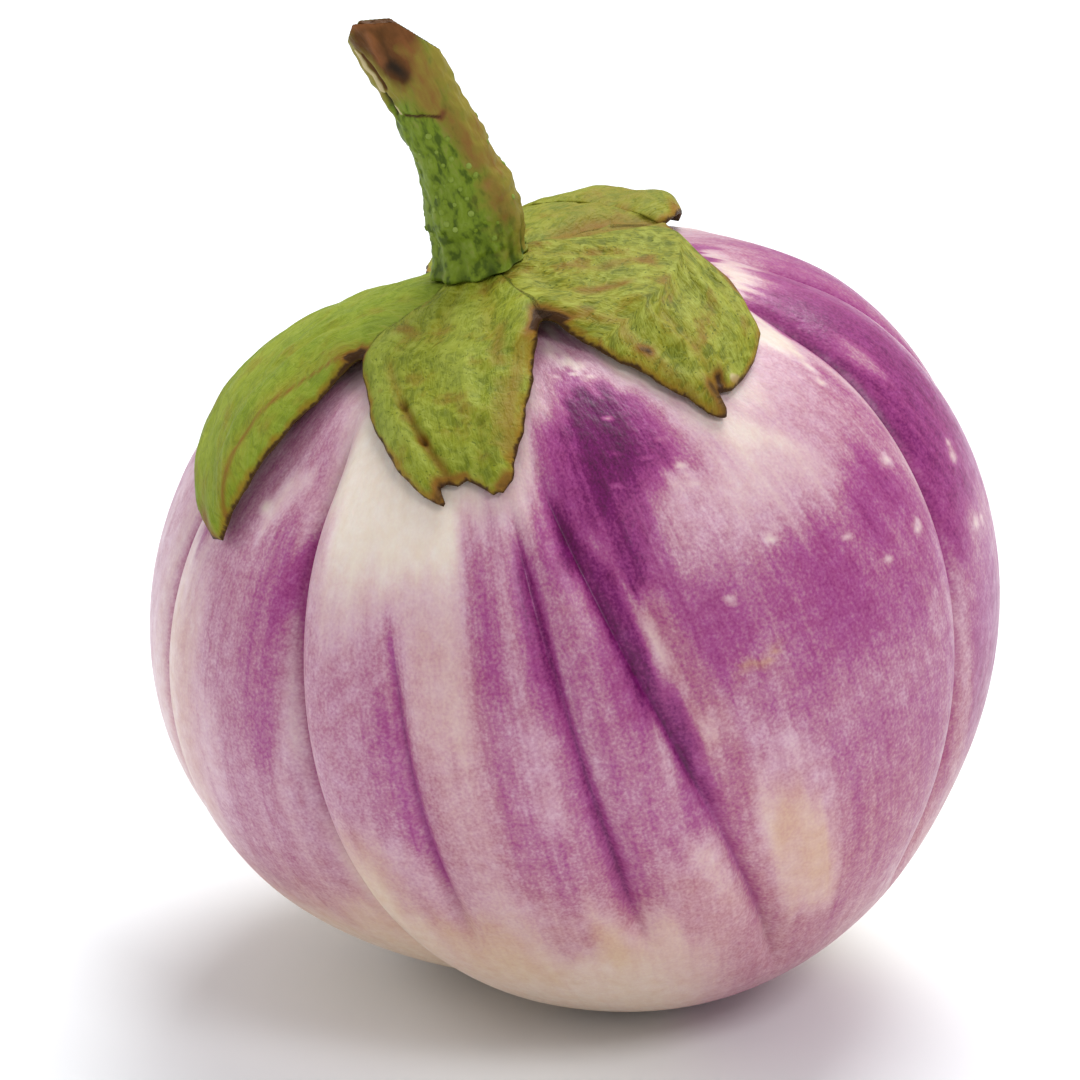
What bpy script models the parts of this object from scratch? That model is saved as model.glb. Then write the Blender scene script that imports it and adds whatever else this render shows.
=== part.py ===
"""A round lilac and cream eggplant, as picked: the fruit, its green calyx and the cut stalk.

The fruit stands on a small flat spot, whose centre is the origin. +Z is up and -Y is the front.
Its own axis, from the blossom end to the crown, leans to the left and a little to the front.
Places on the fruit are given as a polar angle from the crown and an azimuth round the axis,
which is 0 at the front and grows towards the right. Reach is a distance from the crown, measured
along the surface.
"""

import math
from typing import NamedTuple

import bmesh
import bpy
import numpy as np
from mathutils import Vector

MM = 0.001

# The fruit's plain form, an egg-like body a little wider than high.
EQUATOR_RADIUS = 55.4 * MM
POLE_HEIGHT = 50.3 * MM
BODY_CENTRE = np.array([-4.2, 0.4, 48.4]) * MM
LEAN_LEFT = math.radians(12.3)
LEAN_FRONT = math.radians(8.4)
REST_BLEND = 0.4 * MM
CROWN_DIP = 2.1 * MM
CROWN_DIP_RUN = (12.0, 56.0)

# The fruit's mesh: every lobe takes the same number of columns.
COLUMNS_PER_LOBE = 8
RINGS = 40

# The calyx lies on the fruit with a hair's gap and is laid out by reach on this radius.
LAY_RADIUS = 56.8 * MM
CALYX_GAP = 0.5 * MM
CALYX_THICKNESS = 2.8 * MM
CALYX_RIM_SHARE = 0.40
SEPAL_COLUMNS = 12
CAP_ROWS = 4
BLADE_ROWS = 11
SEPAL_RIDGES = 2.0
SEPAL_RIDGE_SHARE = 0.16

# The stalk, from its foot on the crown to its slanting cut.
STALK_GAP = 0.3 * MM
STALK_SIDES = 28
FOOT_RINGS = 3
STALK_RINGS = 24
STALK_OVERRUN = 1.15
STALK_BEND = np.array([-2.0, -1.6, 13.0]) * MM
STALK_TIP = np.array([-12.8, -3.9, 31.2]) * MM
STALK_RIBS = 7
STALK_RIB_HEIGHT = 0.45 * MM
STALK_RIB_FADE = 0.22
# Pairs of a share of the length and a radius in mm.
STALK_GIRTH = (
    (0.0, 7.1), (0.03, 6.7), (0.07, 6.4), (0.14, 6.2), (0.28, 5.9), (0.40, 5.1), (0.54, 4.5), (0.70, 4.3), (0.84, 4.5),
    (1.2, 4.7),
)
# Swellings of the bark: a share of the length, a turn from the right side in degrees and a height in mm.
STALK_KNOTS = ((0.34, 5.0, 0.35), (0.53, 0.0, 0.3), (0.62, 178.0, 0.45), (0.24, 120.0, 0.5), (0.45, 80.0, 0.35))
# Flat cuts of the torn end: a point from the stalk's tip in mm and the direction that goes away.
STALK_CUTS = (
    ((0.0, 0.0, 0.0), (-0.08, 0.0, 1.0)),
    ((3.9, 0.0, -1.2), (0.52, -0.05, 0.85)),
    ((-3.5, 0.0, -2.8), (-0.92, 0.10, 0.38)),
)


class Swell(NamedTuple):
    """A broad rise or hollow of the body, strongest at one place and spread all round it."""

    rise: float
    polar: float
    azimuth: float
    spread: float


class Crease(NamedTuple):
    """A meridian furrow between two lobes, with its own run, depth and side widths."""

    azimuth: float
    drift: float
    start: float
    end: float
    cut: float
    hollow: float
    left_width: float
    right_width: float


class Sepal(NamedTuple):
    """A lobe of the calyx between two notches. Teeth are (place across, shortfall in mm) at its tip."""

    left_notch: tuple
    right_notch: tuple
    tip_left: float
    tip_right: float
    reach: float
    left_ease: float
    right_ease: float
    left_lift: float
    right_lift: float
    arch: float
    teeth: tuple


SWELLS = (
    Swell(3.8 * MM, 145.0, 8.0, 5.0),
    Swell(-4.7 * MM, 138.0, -35.5, 5.0),
    Swell(2.6 * MM, 57.0, 110.0, 5.0),
    Swell(-3.2 * MM, 22.0, -148.0, 22.0),
    Swell(2.2 * MM, 20.0, 165.0, 50.0),
)

# Azimuth, drift over 60 degrees, start, end, depth of the cut, depth of the hollow and its two widths.
CREASES = (
    Crease(-37.2, 6.5, 26.0, 166.0, 1.4 * MM, 3.0 * MM, 11.0 * MM, 1.6 * MM),
    Crease(-21.2, 3.0, 54.0, 116.0, 1.0 * MM, 0.9 * MM, 4.0 * MM, 4.0 * MM),
    Crease(1.6, 4.5, 40.0, 118.0, 1.1 * MM, 1.1 * MM, 4.5 * MM, 3.5 * MM),
    Crease(14.8, 13.0, 36.0, 136.0, 1.0 * MM, 1.3 * MM, 3.5 * MM, 6.0 * MM),
    Crease(62.8, -17.0, 28.0, 134.0, 1.3 * MM, 1.9 * MM, 3.2 * MM, 8.0 * MM),
    Crease(98.0, -4.0, 28.0, 130.0, 0.9 * MM, 1.3 * MM, 6.0 * MM, 5.0 * MM),
    Crease(129.0, 5.0, 34.0, 124.0, 1.2 * MM, 1.4 * MM, 5.0 * MM, 7.0 * MM),
    Crease(160.0, -4.0, 28.0, 138.0, 1.3 * MM, 1.8 * MM, 8.0 * MM, 3.5 * MM),
    Crease(192.0, 6.0, 44.0, 120.0, 0.9 * MM, 1.0 * MM, 4.0 * MM, 5.0 * MM),
    Crease(222.0, -6.0, 30.0, 132.0, 1.3 * MM, 1.7 * MM, 4.0 * MM, 7.5 * MM),
    Crease(254.0, 5.0, 50.0, 122.0, 0.8 * MM, 1.0 * MM, 5.0 * MM, 5.0 * MM),
    Crease(286.0, 4.0, 32.0, 134.0, 0.9 * MM, 1.3 * MM, 6.0 * MM, 6.0 * MM),
)
# A shallow valley beside the deepest crease, which no column of the mesh follows.
FOLDS = (Crease(-43.5, 7.0, 44.0, 104.0, 0.5 * MM, 0.6 * MM, 2.5 * MM, 2.5 * MM),)
CUT_WIDTH = 1.3 * MM
CREASE_FADE = 16.0

# Notches and tips are (azimuth, reach in mm), eases bend the two edges, and lifts raise them off the fruit.
NOTCH_LEFT_FRONT = (-52.5, 21.8)
NOTCH_FRONT_RIGHT = (20.5, 18.4)
NOTCH_RIGHT_BACK = (114.0, 25.0)
NOTCH_BACK = (172.0, 17.5)
NOTCH_BACK_LEFT = (230.0, 18.0)
TURN = 360.0
SEPALS = (
    Sepal(
        (NOTCH_BACK_LEFT[0] - TURN, NOTCH_BACK_LEFT[1]), NOTCH_LEFT_FRONT, -64.5, -59.5, 52.0, 1.15, 0.35,
        0.3, 1.8, 0.0, ((-1.0, 1.5), (0.0, 0.0), (1.0, 0.5)),
    ),
    Sepal(
        NOTCH_LEFT_FRONT, NOTCH_FRONT_RIGHT, -15.5, -2.0, 43.2, 0.85, 0.6,
        0.3, 0.6, 0.0, ((-1.0, 1.0), (-0.75, 0.0), (-0.3, 3.2), (0.05, 3.2), (0.65, 0.6), (1.0, 1.8)),
    ),
    Sepal(
        NOTCH_FRONT_RIGHT, NOTCH_RIGHT_BACK, 40.0, 54.0, 43.6, 0.55, 0.55,
        0.4, 0.3, 0.0, ((-1.0, 1.6), (-0.8, 0.0), (-0.45, 3.4), (0.2, 3.6), (1.0, 5.4)),
    ),
    Sepal(
        NOTCH_RIGHT_BACK, NOTCH_BACK, 136.0, 147.0, 36.0, 1.3, 0.8,
        1.6, 0.4, 1.4, ((-1.0, 2.0), (0.0, 0.0), (1.0, 1.6)),
    ),
    Sepal(
        NOTCH_BACK, NOTCH_BACK_LEFT, 196.0, 203.0, 41.0, 0.9, 0.8,
        0.4, 0.5, 0.0, ((-1.0, 1.4), (0.0, 0.0), (1.0, 1.4)),
    ),
)


def body_axes():
    """The front, right and axis directions of the fruit, as the rows of a matrix."""
    left = -math.sin(LEAN_LEFT)
    front = -math.sin(LEAN_FRONT)
    axis = np.array([left, front, math.sqrt(1.0 - left**2 - front**2)])
    forward = np.array([0.0, -1.0, 0.0])
    forward = forward - axis * forward.dot(axis)
    forward /= np.linalg.norm(forward)
    return np.array([forward, np.cross(axis, forward), axis])


AXES = body_axes()


def direction(polar, azimuth):
    """Unit vectors at these angles, in radians, in the fruit's own axes."""
    ring = np.sin(polar)
    return np.stack([ring * np.cos(azimuth), ring * np.sin(azimuth), np.cos(polar) + 0.0 * azimuth], axis=-1)


def plain_body(polar, azimuth, rise=0.0):
    """Points of the body without its creases, raised by some height, in the fruit's own axes."""
    outward = direction(polar, azimuth)
    swelling = np.zeros(outward.shape[:-1]) + rise
    for swell in SWELLS:
        centre = direction(np.radians(swell.polar), np.radians(swell.azimuth))
        swelling = swelling + swell.rise * np.exp(swell.spread * (outward @ centre - 1.0))
    dip_start, dip_end = CROWN_DIP_RUN
    swelling = swelling - CROWN_DIP * smooth((dip_end - np.degrees(polar)) / (dip_end - dip_start))
    form = outward * np.array([EQUATOR_RADIUS, EQUATOR_RADIUS, POLE_HEIGHT])
    return form + outward * swelling[..., None]


def to_row(points):
    """The fruit's own coordinates turned into the row's."""
    return points @ AXES + BODY_CENTRE


def crease_azimuth(crease, polar):
    """The azimuth of a crease at a polar angle, in radians."""
    return np.radians(crease.azimuth) + np.radians(crease.drift) * (np.degrees(polar) - 90.0) / 60.0


def smooth(share):
    """0 below 0, 1 above 1 and an even curve between."""
    share = np.clip(share, 0.0, 1.0)
    return share * share * (3.0 - 2.0 * share)


def crease_depth(polar, azimuth):
    """How deep the creases cut at these places."""
    depth = np.zeros(np.broadcast(polar, azimuth).shape)
    degrees = np.degrees(polar)
    for crease in CREASES + FOLDS:
        turn = azimuth - crease_azimuth(crease, polar)
        turn = (turn + math.pi) % (2.0 * math.pi) - math.pi
        across = turn * EQUATOR_RADIUS * np.sin(polar)
        width = np.where(across < 0.0, crease.left_width, crease.right_width)
        run = smooth((degrees - crease.start) / CREASE_FADE) * smooth((crease.end - degrees) / CREASE_FADE)
        section = crease.cut * np.exp(-np.abs(across) / CUT_WIDTH) + crease.hollow * np.exp(-np.abs(across) / width)
        depth = np.maximum(depth, run * section)
    return depth


def lobe_azimuth(turn_share, polar):
    """The azimuth of a mesh column, which follows the creases and crowds towards them."""
    count = len(CREASES)
    place = turn_share * count
    lobe = np.floor(place + 1e-6).astype(int) % count
    share = place - np.floor(place + 1e-6)
    eased = 0.5 - 0.5 * np.cos(math.pi * share)
    edges = np.array([crease_azimuth(crease, polar) for crease in CREASES])
    edges = np.vstack([edges, edges[:1] + 2.0 * math.pi])
    column = np.arange(len(polar))
    return edges[lobe, column] * (1.0 - eased) + edges[lobe + 1, column] * eased


def settled(points):
    """Points let down on the ground: what would go below it lies flat on it."""
    height = points[..., 2]
    rounded = (height + REST_BLEND) ** 2 / (4.0 * REST_BLEND)
    points = points.copy()
    points[..., 2] = np.where(height < -REST_BLEND, 0.0, np.where(height < REST_BLEND, rounded, height))
    return points


def make_fruit():
    """The fruit, a sphere whose points are moved out to the lobed body."""
    mesh = bmesh.new()
    columns = COLUMNS_PER_LOBE * len(CREASES)
    bmesh.ops.create_uvsphere(mesh, u_segments=columns, v_segments=RINGS, radius=1.0)
    unit = np.array([vert.co for vert in mesh.verts], float)
    polar = np.arccos(np.clip(unit[:, 2], -1.0, 1.0))
    turn_share = (np.arctan2(unit[:, 1], unit[:, 0]) / (2.0 * math.pi)) % 1.0
    turn_share = np.round(turn_share * columns) / columns % 1.0
    azimuth = lobe_azimuth(turn_share, polar)
    depth = crease_depth(polar, azimuth)
    points = settled(to_row(plain_body(polar, azimuth, -depth)))
    for vert, point in zip(mesh.verts, points):
        vert.co = point
    return finish_mesh(mesh, "fruit")


def edge_azimuth(notch, tip_azimuth, ease, reach, tip_reach):
    """The azimuth of a sepal's edge at a reach, in degrees."""
    share = np.clip((reach - notch[1]) / (tip_reach - notch[1]), 0.0, 1.0)
    return notch[0] + (tip_azimuth - notch[0]) * share**ease


def sepal_layout(sepal, across, along_cap, along_blade):
    """Reach in mm and azimuth in degrees of a sepal's grid points."""
    half = (across + 1.0) / 2.0
    notch_reach = sepal.left_notch[1] * (1.0 - half) + sepal.right_notch[1] * half
    places, drops = zip(*sepal.teeth)
    end_reach = sepal.reach - np.interp(across, places, drops)
    reach = notch_reach * along_cap + (end_reach - notch_reach) * along_blade
    left = edge_azimuth(sepal.left_notch, sepal.tip_left, sepal.left_ease, reach, sepal.reach)
    right = edge_azimuth(sepal.right_notch, sepal.tip_right, sepal.right_ease, reach, sepal.reach)
    return reach, left * (1.0 - half) + right * half


def sepal_shape(sepal, across, along_blade):
    """Lift off the fruit, in metres, and share of the full thickness of a sepal's grid points."""
    half = (across + 1.0) / 2.0
    edge_lift = sepal.left_lift * (1.0 - half) ** 3 + sepal.right_lift * half**3
    edge_lift = edge_lift + sepal.arch * (1.0 - across**2)
    lift = edge_lift * np.sin(math.pi * np.clip(along_blade, 0.0, 1.0)) ** 0.8 * MM
    ridges = 0.5 - 0.5 * np.cos(2.0 * math.pi * (SEPAL_RIDGES * (across + 1.0) / 2.0 + 0.5))
    body = 1.0 - SEPAL_RIDGE_SHARE * ridges * smooth(along_blade * 3.0)
    rim = CALYX_RIM_SHARE
    side = 1.0 - (1.0 - rim) * np.abs(across) ** 3 * smooth(along_blade * 4.0)
    tip = 1.0 - (1.0 - rim) * along_blade**4
    return lift, body * np.minimum(side, tip)


def make_sepal(mesh, sepal, thickness):
    """Adds one sepal's underside to the mesh, from the crown to its tip."""
    rows = CAP_ROWS + BLADE_ROWS
    made = bmesh.ops.create_grid(mesh, x_segments=SEPAL_COLUMNS, y_segments=rows, size=1.0)["verts"]
    unit = np.array([vert.co for vert in made], float)
    row = np.round((unit[:, 1] + 1.0) / 2.0 * rows)
    along_cap = np.clip(row / CAP_ROWS, 0.0, 1.0)
    along_blade = np.clip((row - CAP_ROWS) / BLADE_ROWS, 0.0, 1.0)
    reach, azimuth = sepal_layout(sepal, unit[:, 0], along_cap, along_blade)
    lift, share = sepal_shape(sepal, unit[:, 0], along_blade)
    polar = reach * MM / LAY_RADIUS
    points = to_row(plain_body(polar, np.radians(azimuth), CALYX_GAP + lift))
    layer = mesh.verts.layers.deform.active
    for vert, point, weight in zip(made, points, share):
        vert.co = point
        vert[layer][thickness] = float(weight)


def make_calyx():
    """The calyx, five sepals joined in one cap: an open surface thickened away from the fruit."""
    mesh = bmesh.new()
    mesh.verts.layers.deform.new("thickness")
    thickness = 0
    for sepal in SEPALS:
        make_sepal(mesh, sepal, thickness)
    bmesh.ops.remove_doubles(mesh, verts=mesh.verts, dist=0.02 * MM)
    bmesh.ops.dissolve_degenerate(mesh, edges=mesh.edges, dist=0.01 * MM)
    bmesh.ops.recalc_face_normals(mesh, faces=mesh.faces)
    outward = sum(face.normal.dot(face.calc_center_median() - Vector(BODY_CENTRE)) for face in mesh.faces)
    if outward < 0.0:
        bmesh.ops.reverse_faces(mesh, faces=mesh.faces)
    calyx = finish_mesh(mesh, "calyx", recalculate=False)
    group = calyx.vertex_groups.new(name="thickness")
    solidify = calyx.modifiers.new("thickness", "SOLIDIFY")
    solidify.thickness = CALYX_THICKNESS
    solidify.offset = 1.0
    solidify.vertex_group = group.name
    solidify.use_rim = True
    return calyx


def stalk_line(share):
    """Points on the stalk's centre line: a curve with one bend, which runs straight on past its tip."""
    foot = stalk_foot()
    bend = foot + STALK_BEND
    tip = foot + STALK_TIP
    share = share[:, None]
    inside = np.minimum(share, 1.0)
    curve = foot * (1.0 - inside) ** 2 + bend * 2.0 * inside * (1.0 - inside) + tip * inside**2
    return curve + (tip - bend) * 2.0 * np.maximum(share - 1.0, 0.0)


def stalk_foot():
    """The centre of the stalk's foot, just above the crown of the calyx."""
    height = CALYX_GAP + CALYX_THICKNESS + STALK_GAP
    return to_row(plain_body(np.zeros(1), np.zeros(1), height))[0]


def stalk_radius(share, turn):
    """The stalk's radius: a ribbed foot that slims to a knotty stem."""
    places, radii = zip(*STALK_GIRTH)
    ribs = STALK_RIB_HEIGHT * np.cos(STALK_RIBS * turn) * np.exp(-share / STALK_RIB_FADE)
    radius = np.interp(share, places, radii) * MM + ribs
    for place, side, height in STALK_KNOTS:
        near = np.exp(-(((share - place) / 0.06) ** 2) + 3.0 * (np.cos(turn - math.radians(side)) - 1.0))
        radius = radius + height * MM * near
    return radius


def stalk_frames(centres):
    """The right and front directions square to the stalk at each ring."""
    tangents = np.gradient(centres, axis=0)
    tangents[0] = AXES[2]
    tangents /= np.linalg.norm(tangents, axis=1, keepdims=True)
    right = AXES[1] - tangents * (tangents @ AXES[1])[:, None]
    right /= np.linalg.norm(right, axis=1, keepdims=True)
    return right, np.cross(right, tangents)


def crown_ring(radius, turn):
    """Points on the crown of the calyx, a hair above it, at a distance from its middle."""
    height = CALYX_GAP + CALYX_THICKNESS + STALK_GAP
    return to_row(plain_body(radius / LAY_RADIUS, math.pi / 2.0 - turn, height))


def make_stalk():
    """The stalk: a grid rolled round its centre line, with its foot laid on the calyx and a torn end."""
    mesh = bmesh.new()
    rows = FOOT_RINGS + STALK_RINGS
    bmesh.ops.create_grid(mesh, x_segments=STALK_SIDES, y_segments=rows, size=1.0)
    unit = np.array([vert.co for vert in mesh.verts], float)
    turn = np.round((unit[:, 0] + 1.0) / 2.0 * STALK_SIDES) % STALK_SIDES * 2.0 * math.pi / STALK_SIDES
    row = np.round((unit[:, 1] + 1.0) / 2.0 * rows).astype(int)
    ring = np.maximum(row - FOOT_RINGS, 0)
    shares = (np.arange(STALK_RINGS + 1) / STALK_RINGS) ** 1.25 * STALK_OVERRUN
    centres = stalk_line(shares)
    right, front = stalk_frames(centres)
    radius = stalk_radius(shares[ring], turn)
    spoke = right[ring] * np.cos(turn)[:, None] + front[ring] * np.sin(turn)[:, None]
    points = centres[ring] + radius[:, None] * spoke
    rim = stalk_radius(np.zeros(len(turn)), turn)
    flat_rim = centres[0] + rim[:, None] * (right[0] * np.cos(turn)[:, None] + front[0] * np.sin(turn)[:, None])
    settle = 1.0 - smooth(shares[ring] / 0.2)
    points += settle[:, None] * (crown_ring(rim, turn) - flat_rim)
    foot = crown_ring(rim * np.minimum(row / FOOT_RINGS, 1.0), turn)
    points = np.where((row <= FOOT_RINGS)[:, None], foot, points)
    for vert, point in zip(mesh.verts, points):
        vert.co = point
    bmesh.ops.remove_doubles(mesh, verts=mesh.verts, dist=0.01 * MM)
    close_holes(mesh)
    tip = stalk_foot() + STALK_TIP
    for offset, normal in STALK_CUTS:
        slice_off(mesh, Vector(tip + np.array(offset) * MM), Vector(normal).normalized())
    return finish_mesh(mesh, "stalk")


def slice_off(mesh, point, normal):
    """Cuts the closed mesh by a plane and closes it again."""
    geometry = mesh.verts[:] + mesh.edges[:] + mesh.faces[:]
    bmesh.ops.bisect_plane(mesh, geom=geometry, plane_co=point, plane_no=normal, clear_outer=True)
    close_holes(mesh)


def close_holes(mesh):
    """Fills each open rim with a face."""
    rims = [edge for edge in mesh.edges if edge.is_boundary]
    bmesh.ops.holes_fill(mesh, edges=rims, sides=0)


def finish_mesh(mesh, name, recalculate=True):
    """Turns a bmesh into a named object in the eggplant's collection, shaded smooth."""
    if recalculate:
        bmesh.ops.recalc_face_normals(mesh, faces=mesh.faces)
    data = bpy.data.meshes.new(name)
    mesh.to_mesh(data)
    mesh.free()
    data.shade_smooth()
    data.set_sharp_from_angle(angle=math.radians(50.0))
    part = bpy.data.objects.new(name, data)
    bpy.data.collections["eggplant"].objects.link(part)
    return part


def paint(part, colour, roughness):
    """Gives a part its own plain material."""
    material = bpy.data.materials.new(part.name)
    material.use_nodes = True
    shader = material.node_tree.nodes["Principled BSDF"]
    shader.inputs["Base Color"].default_value = (*colour, 1.0)
    shader.inputs["Roughness"].default_value = roughness
    shader.inputs["Metallic"].default_value = 0.0
    part.data.materials.append(material)


def main():
    """Builds the eggplant."""
    for old in list(bpy.data.objects):
        bpy.data.objects.remove(old)
    collection = bpy.data.collections.new("eggplant")
    bpy.context.scene.collection.children.link(collection)
    paint(make_fruit(), (0.45, 0.16, 0.37), 0.35)
    paint(make_calyx(), (0.23, 0.30, 0.06), 0.6)
    paint(make_stalk(), (0.20, 0.24, 0.05), 0.65)


main()
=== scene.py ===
"""A round lilac and cream eggplant, dressed for its picture: the fruit, its green calyx and the cut stalk.

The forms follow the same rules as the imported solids, on a fine mesh, and lie a hair inside them.
Places on the fruit are a polar angle from the crown and an azimuth round its axis, which is 0 at the
front and grows towards the right. Reach is a distance from the crown along the surface.
"""

import logging
import math
from collections.abc import Iterable, Mapping
from dataclasses import dataclass
from enum import Enum
from functools import partial
from typing import Any, NamedTuple

import bmesh
import bpy
import numpy as np
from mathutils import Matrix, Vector, kdtree, noise

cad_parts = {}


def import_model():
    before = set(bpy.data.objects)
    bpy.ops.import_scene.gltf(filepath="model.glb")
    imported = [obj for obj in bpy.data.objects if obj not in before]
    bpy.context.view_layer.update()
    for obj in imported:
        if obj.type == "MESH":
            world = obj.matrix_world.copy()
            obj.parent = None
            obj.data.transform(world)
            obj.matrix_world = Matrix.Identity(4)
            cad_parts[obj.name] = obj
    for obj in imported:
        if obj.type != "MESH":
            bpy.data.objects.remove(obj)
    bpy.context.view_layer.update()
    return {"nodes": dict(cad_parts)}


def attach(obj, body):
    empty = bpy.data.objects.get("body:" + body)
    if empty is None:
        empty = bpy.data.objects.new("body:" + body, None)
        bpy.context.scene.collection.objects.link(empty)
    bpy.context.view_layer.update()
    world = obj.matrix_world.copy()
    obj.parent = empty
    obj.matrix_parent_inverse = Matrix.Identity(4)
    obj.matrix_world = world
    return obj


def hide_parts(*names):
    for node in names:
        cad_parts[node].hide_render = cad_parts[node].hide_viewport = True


MM = 0.001
TURN = 360.0
# Vertices that are closer than this are joined.
WELD = 0.004 * MM

# Blender's names of the kinds of node that are used most.
ATTRIBUTE = "ShaderNodeAttribute"
SPLIT = "ShaderNodeSeparateXYZ"
NOISE = "ShaderNodeTexNoise"
RAMP = "ShaderNodeValToRGB"
SPAN = "ShaderNodeMapRange"
MATH = "ShaderNodeMath"
VECTOR_MATH = "ShaderNodeVectorMath"
NAMED = "GeometryNodeInputNamedAttribute"
STORE = "GeometryNodeStoreNamedAttribute"

log = logging.getLogger("eggplant")


def hex_colour(code: str) -> tuple[float, float, float, float]:
    """Turns an sRGB hex colour into linear light.

    Args:
        code: A colour such as "#a05090".

    Returns:
        Red, green, blue and full alpha, linear.
    """
    bytes_ = [int(code.lstrip("#")[place : place + 2], 16) / 255.0 for place in (0, 2, 4)]
    linear = [c / 12.92 if c <= 0.04045 else ((c + 0.055) / 1.055) ** 2.4 for c in bytes_]
    return (*linear, 1.0)


def feed(tree: bpy.types.NodeTree, node: bpy.types.Node, inputs: Mapping[int | str, Any]) -> None:
    """Fills a node's inputs, each by number or name, with a value or a link from an output."""
    for socket, value in inputs.items():
        if isinstance(value, bpy.types.NodeSocket):
            tree.links.new(value, node.inputs[socket])
        else:
            node.inputs[socket].default_value = value


def place_node(
    tree: bpy.types.NodeTree,
    kind: str,
    inputs: Mapping[int | str, Any] | None = None,
    output: int | str = 0,
    stops: Iterable[tuple[float, str]] = (),
    **settings: Any,
) -> Any:
    """Adds a node to a tree, sets it and fills or links its inputs.

    Args:
        tree: The shader or geometry tree.
        kind: Blender's name of the node type.
        inputs: Sockets by number or name, each with a value or the output that feeds it.
        output: The output that is wanted, by number or name.
        stops: For a colour ramp, its places and hex colours.
        settings: The node's own properties.

    Returns:
        That output, or the node where it has none.
    """
    node = tree.nodes.new(kind)
    for name, value in settings.items():
        setattr(node, name, value)
    feed(tree, node, inputs or {})
    for number, (place, code) in enumerate(stops):
        ramp = node.color_ramp.elements
        stop = ramp[number] if number < 2 else ramp.new(place)
        stop.position = place
        stop.color = hex_colour(code)
    return node.outputs[output] if node.outputs else node


def new_material(name: str) -> tuple[bpy.types.Material, bpy.types.NodeTree]:
    """Makes a material, named for the real one, and gives it with its node tree."""
    material = bpy.data.materials.new(name)
    material.use_nodes = True
    return material, material.node_tree


def paint_over(
    tree: bpy.types.NodeTree, colour: Any, coats: Iterable[tuple[Any, str]]
) -> bpy.types.NodeSocket:
    """Lays coats of colour over a first one, each where its mask is 1.

    Args:
        tree: The shader tree.
        colour: The first colour, or the output that gives it.
        coats: For each coat, its mask and its hex colour.

    Returns:
        The output with all the coats.
    """
    for mask, code in coats:
        inputs = {0: mask, 6: colour, 7: hex_colour(code)}
        colour = place_node(tree, "ShaderNodeMix", inputs, 2, data_type="RGBA")
    return colour


def frayed(
    tree: bpy.types.NodeTree,
    pattern: Any,
    part: float,
    value: Any,
    low: float,
    high: float,
    strength: float = 1.0,
) -> bpy.types.NodeSocket:
    """A mask whose edge a pattern frays.

    Args:
        tree: The shader tree.
        pattern: The output of the noise.
        part: How much of it is added to the value.
        value: The output whose edge it frays.
        low: Where the mask starts.
        high: Where it is full.
        strength: Its full value.

    Returns:
        The mask's output.
    """
    mixed = place_node(tree, MATH, {0: pattern, 1: part, 2: value}, operation="MULTIPLY_ADD")
    return place_node(tree, SPAN, {0: mixed, 1: low, 2: high, 4: strength})


def finish_surface(
    tree: bpy.types.NodeTree,
    colour: Any,
    bumps: Iterable[tuple[float, float, Any]],
    values: Mapping[str, Any],
) -> None:
    """Gives a tree's Principled shader its colour, its relief and its other inputs.

    Args:
        tree: The shader tree.
        colour: The colour, or the output that gives it.
        bumps: For each relief, its strength, its height in metres and the output that draws it.
        values: Other inputs by name, each with a value or the output that feeds it.
    """
    relief: dict[str, Any] = {}
    for strength, distance, height in bumps:
        inputs = {"Strength": strength, "Distance": distance, "Height": height, **relief}
        relief = {"Normal": place_node(tree, "ShaderNodeBump", inputs)}
    feed(tree, tree.nodes["Principled BSDF"], {"Base Color": colour, **relief, **values})


def smooth(share: np.ndarray | float) -> np.ndarray:
    """0 below 0, 1 above 1 and an even curve between."""
    share = np.clip(share, 0.0, 1.0)
    return share * share * (3.0 - 2.0 * share)


def ripple(points: np.ndarray, size: float, seed: float) -> np.ndarray:
    """Soft even noise at each point.

    Args:
        points: Places, one a row.
        size: The width of its bumps, in the points' own unit.
        seed: A shift that picks one pattern.

    Returns:
        A value from -1 to 1 for each point.
    """
    shift = Vector((seed, seed * 1.7, -seed))
    return np.array([noise.noise(Vector(point) / size + shift) for point in points])


def near_line(places: np.ndarray, start: np.ndarray, end: np.ndarray, width: float) -> np.ndarray:
    """How close places lie to a line.

    Args:
        places: Points on a flat sheet, one a row.
        start: One end of the line.
        end: Its other end.
        width: The distance at which the closeness has mostly gone.

    Returns:
        1 on the line, less to each side of it and almost 0 at twice the width.
    """
    run = end - start
    share = np.clip((places - start) @ run / max(run.dot(run), 1e-9), 0.0, 1.0)
    away = np.linalg.norm(places - start - share[:, None] * run, axis=1)
    return np.exp(-((away / width) ** 2))


def write_values(mesh: bpy.types.Mesh, values: Mapping[str, np.ndarray]) -> None:
    """Gives a mesh's vertices attributes by name, each a number or a vector for every vertex."""
    for label, value in values.items():
        vector = value.ndim == 2
        layer = mesh.attributes.new(label, "FLOAT_VECTOR" if vector else "FLOAT", "POINT")
        layer.data.foreach_set("vector" if vector else "value", value.astype(np.float32).ravel())


def plain_object(
    name: str, points: np.ndarray, faces: list[tuple[int, ...]], values: Mapping[str, np.ndarray]
) -> bpy.types.Object:
    """Makes a smooth-shaded mesh object that sits at the origin.

    Args:
        name: The piece's name.
        points: Its vertices in the row's frame.
        faces: Its faces, each a tuple of vertex numbers.
        values: Attributes by name, with a number or a vector for each vertex.

    Returns:
        The new object, linked to the scene.
    """
    mesh = bpy.data.meshes.new(name)
    mesh.from_pydata(points.tolist(), [], faces)
    write_values(mesh, values)
    mesh.shade_smooth()
    mesh.update()
    piece = bpy.data.objects.new(name, mesh)
    bpy.context.scene.collection.objects.link(piece)
    return piece


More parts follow.
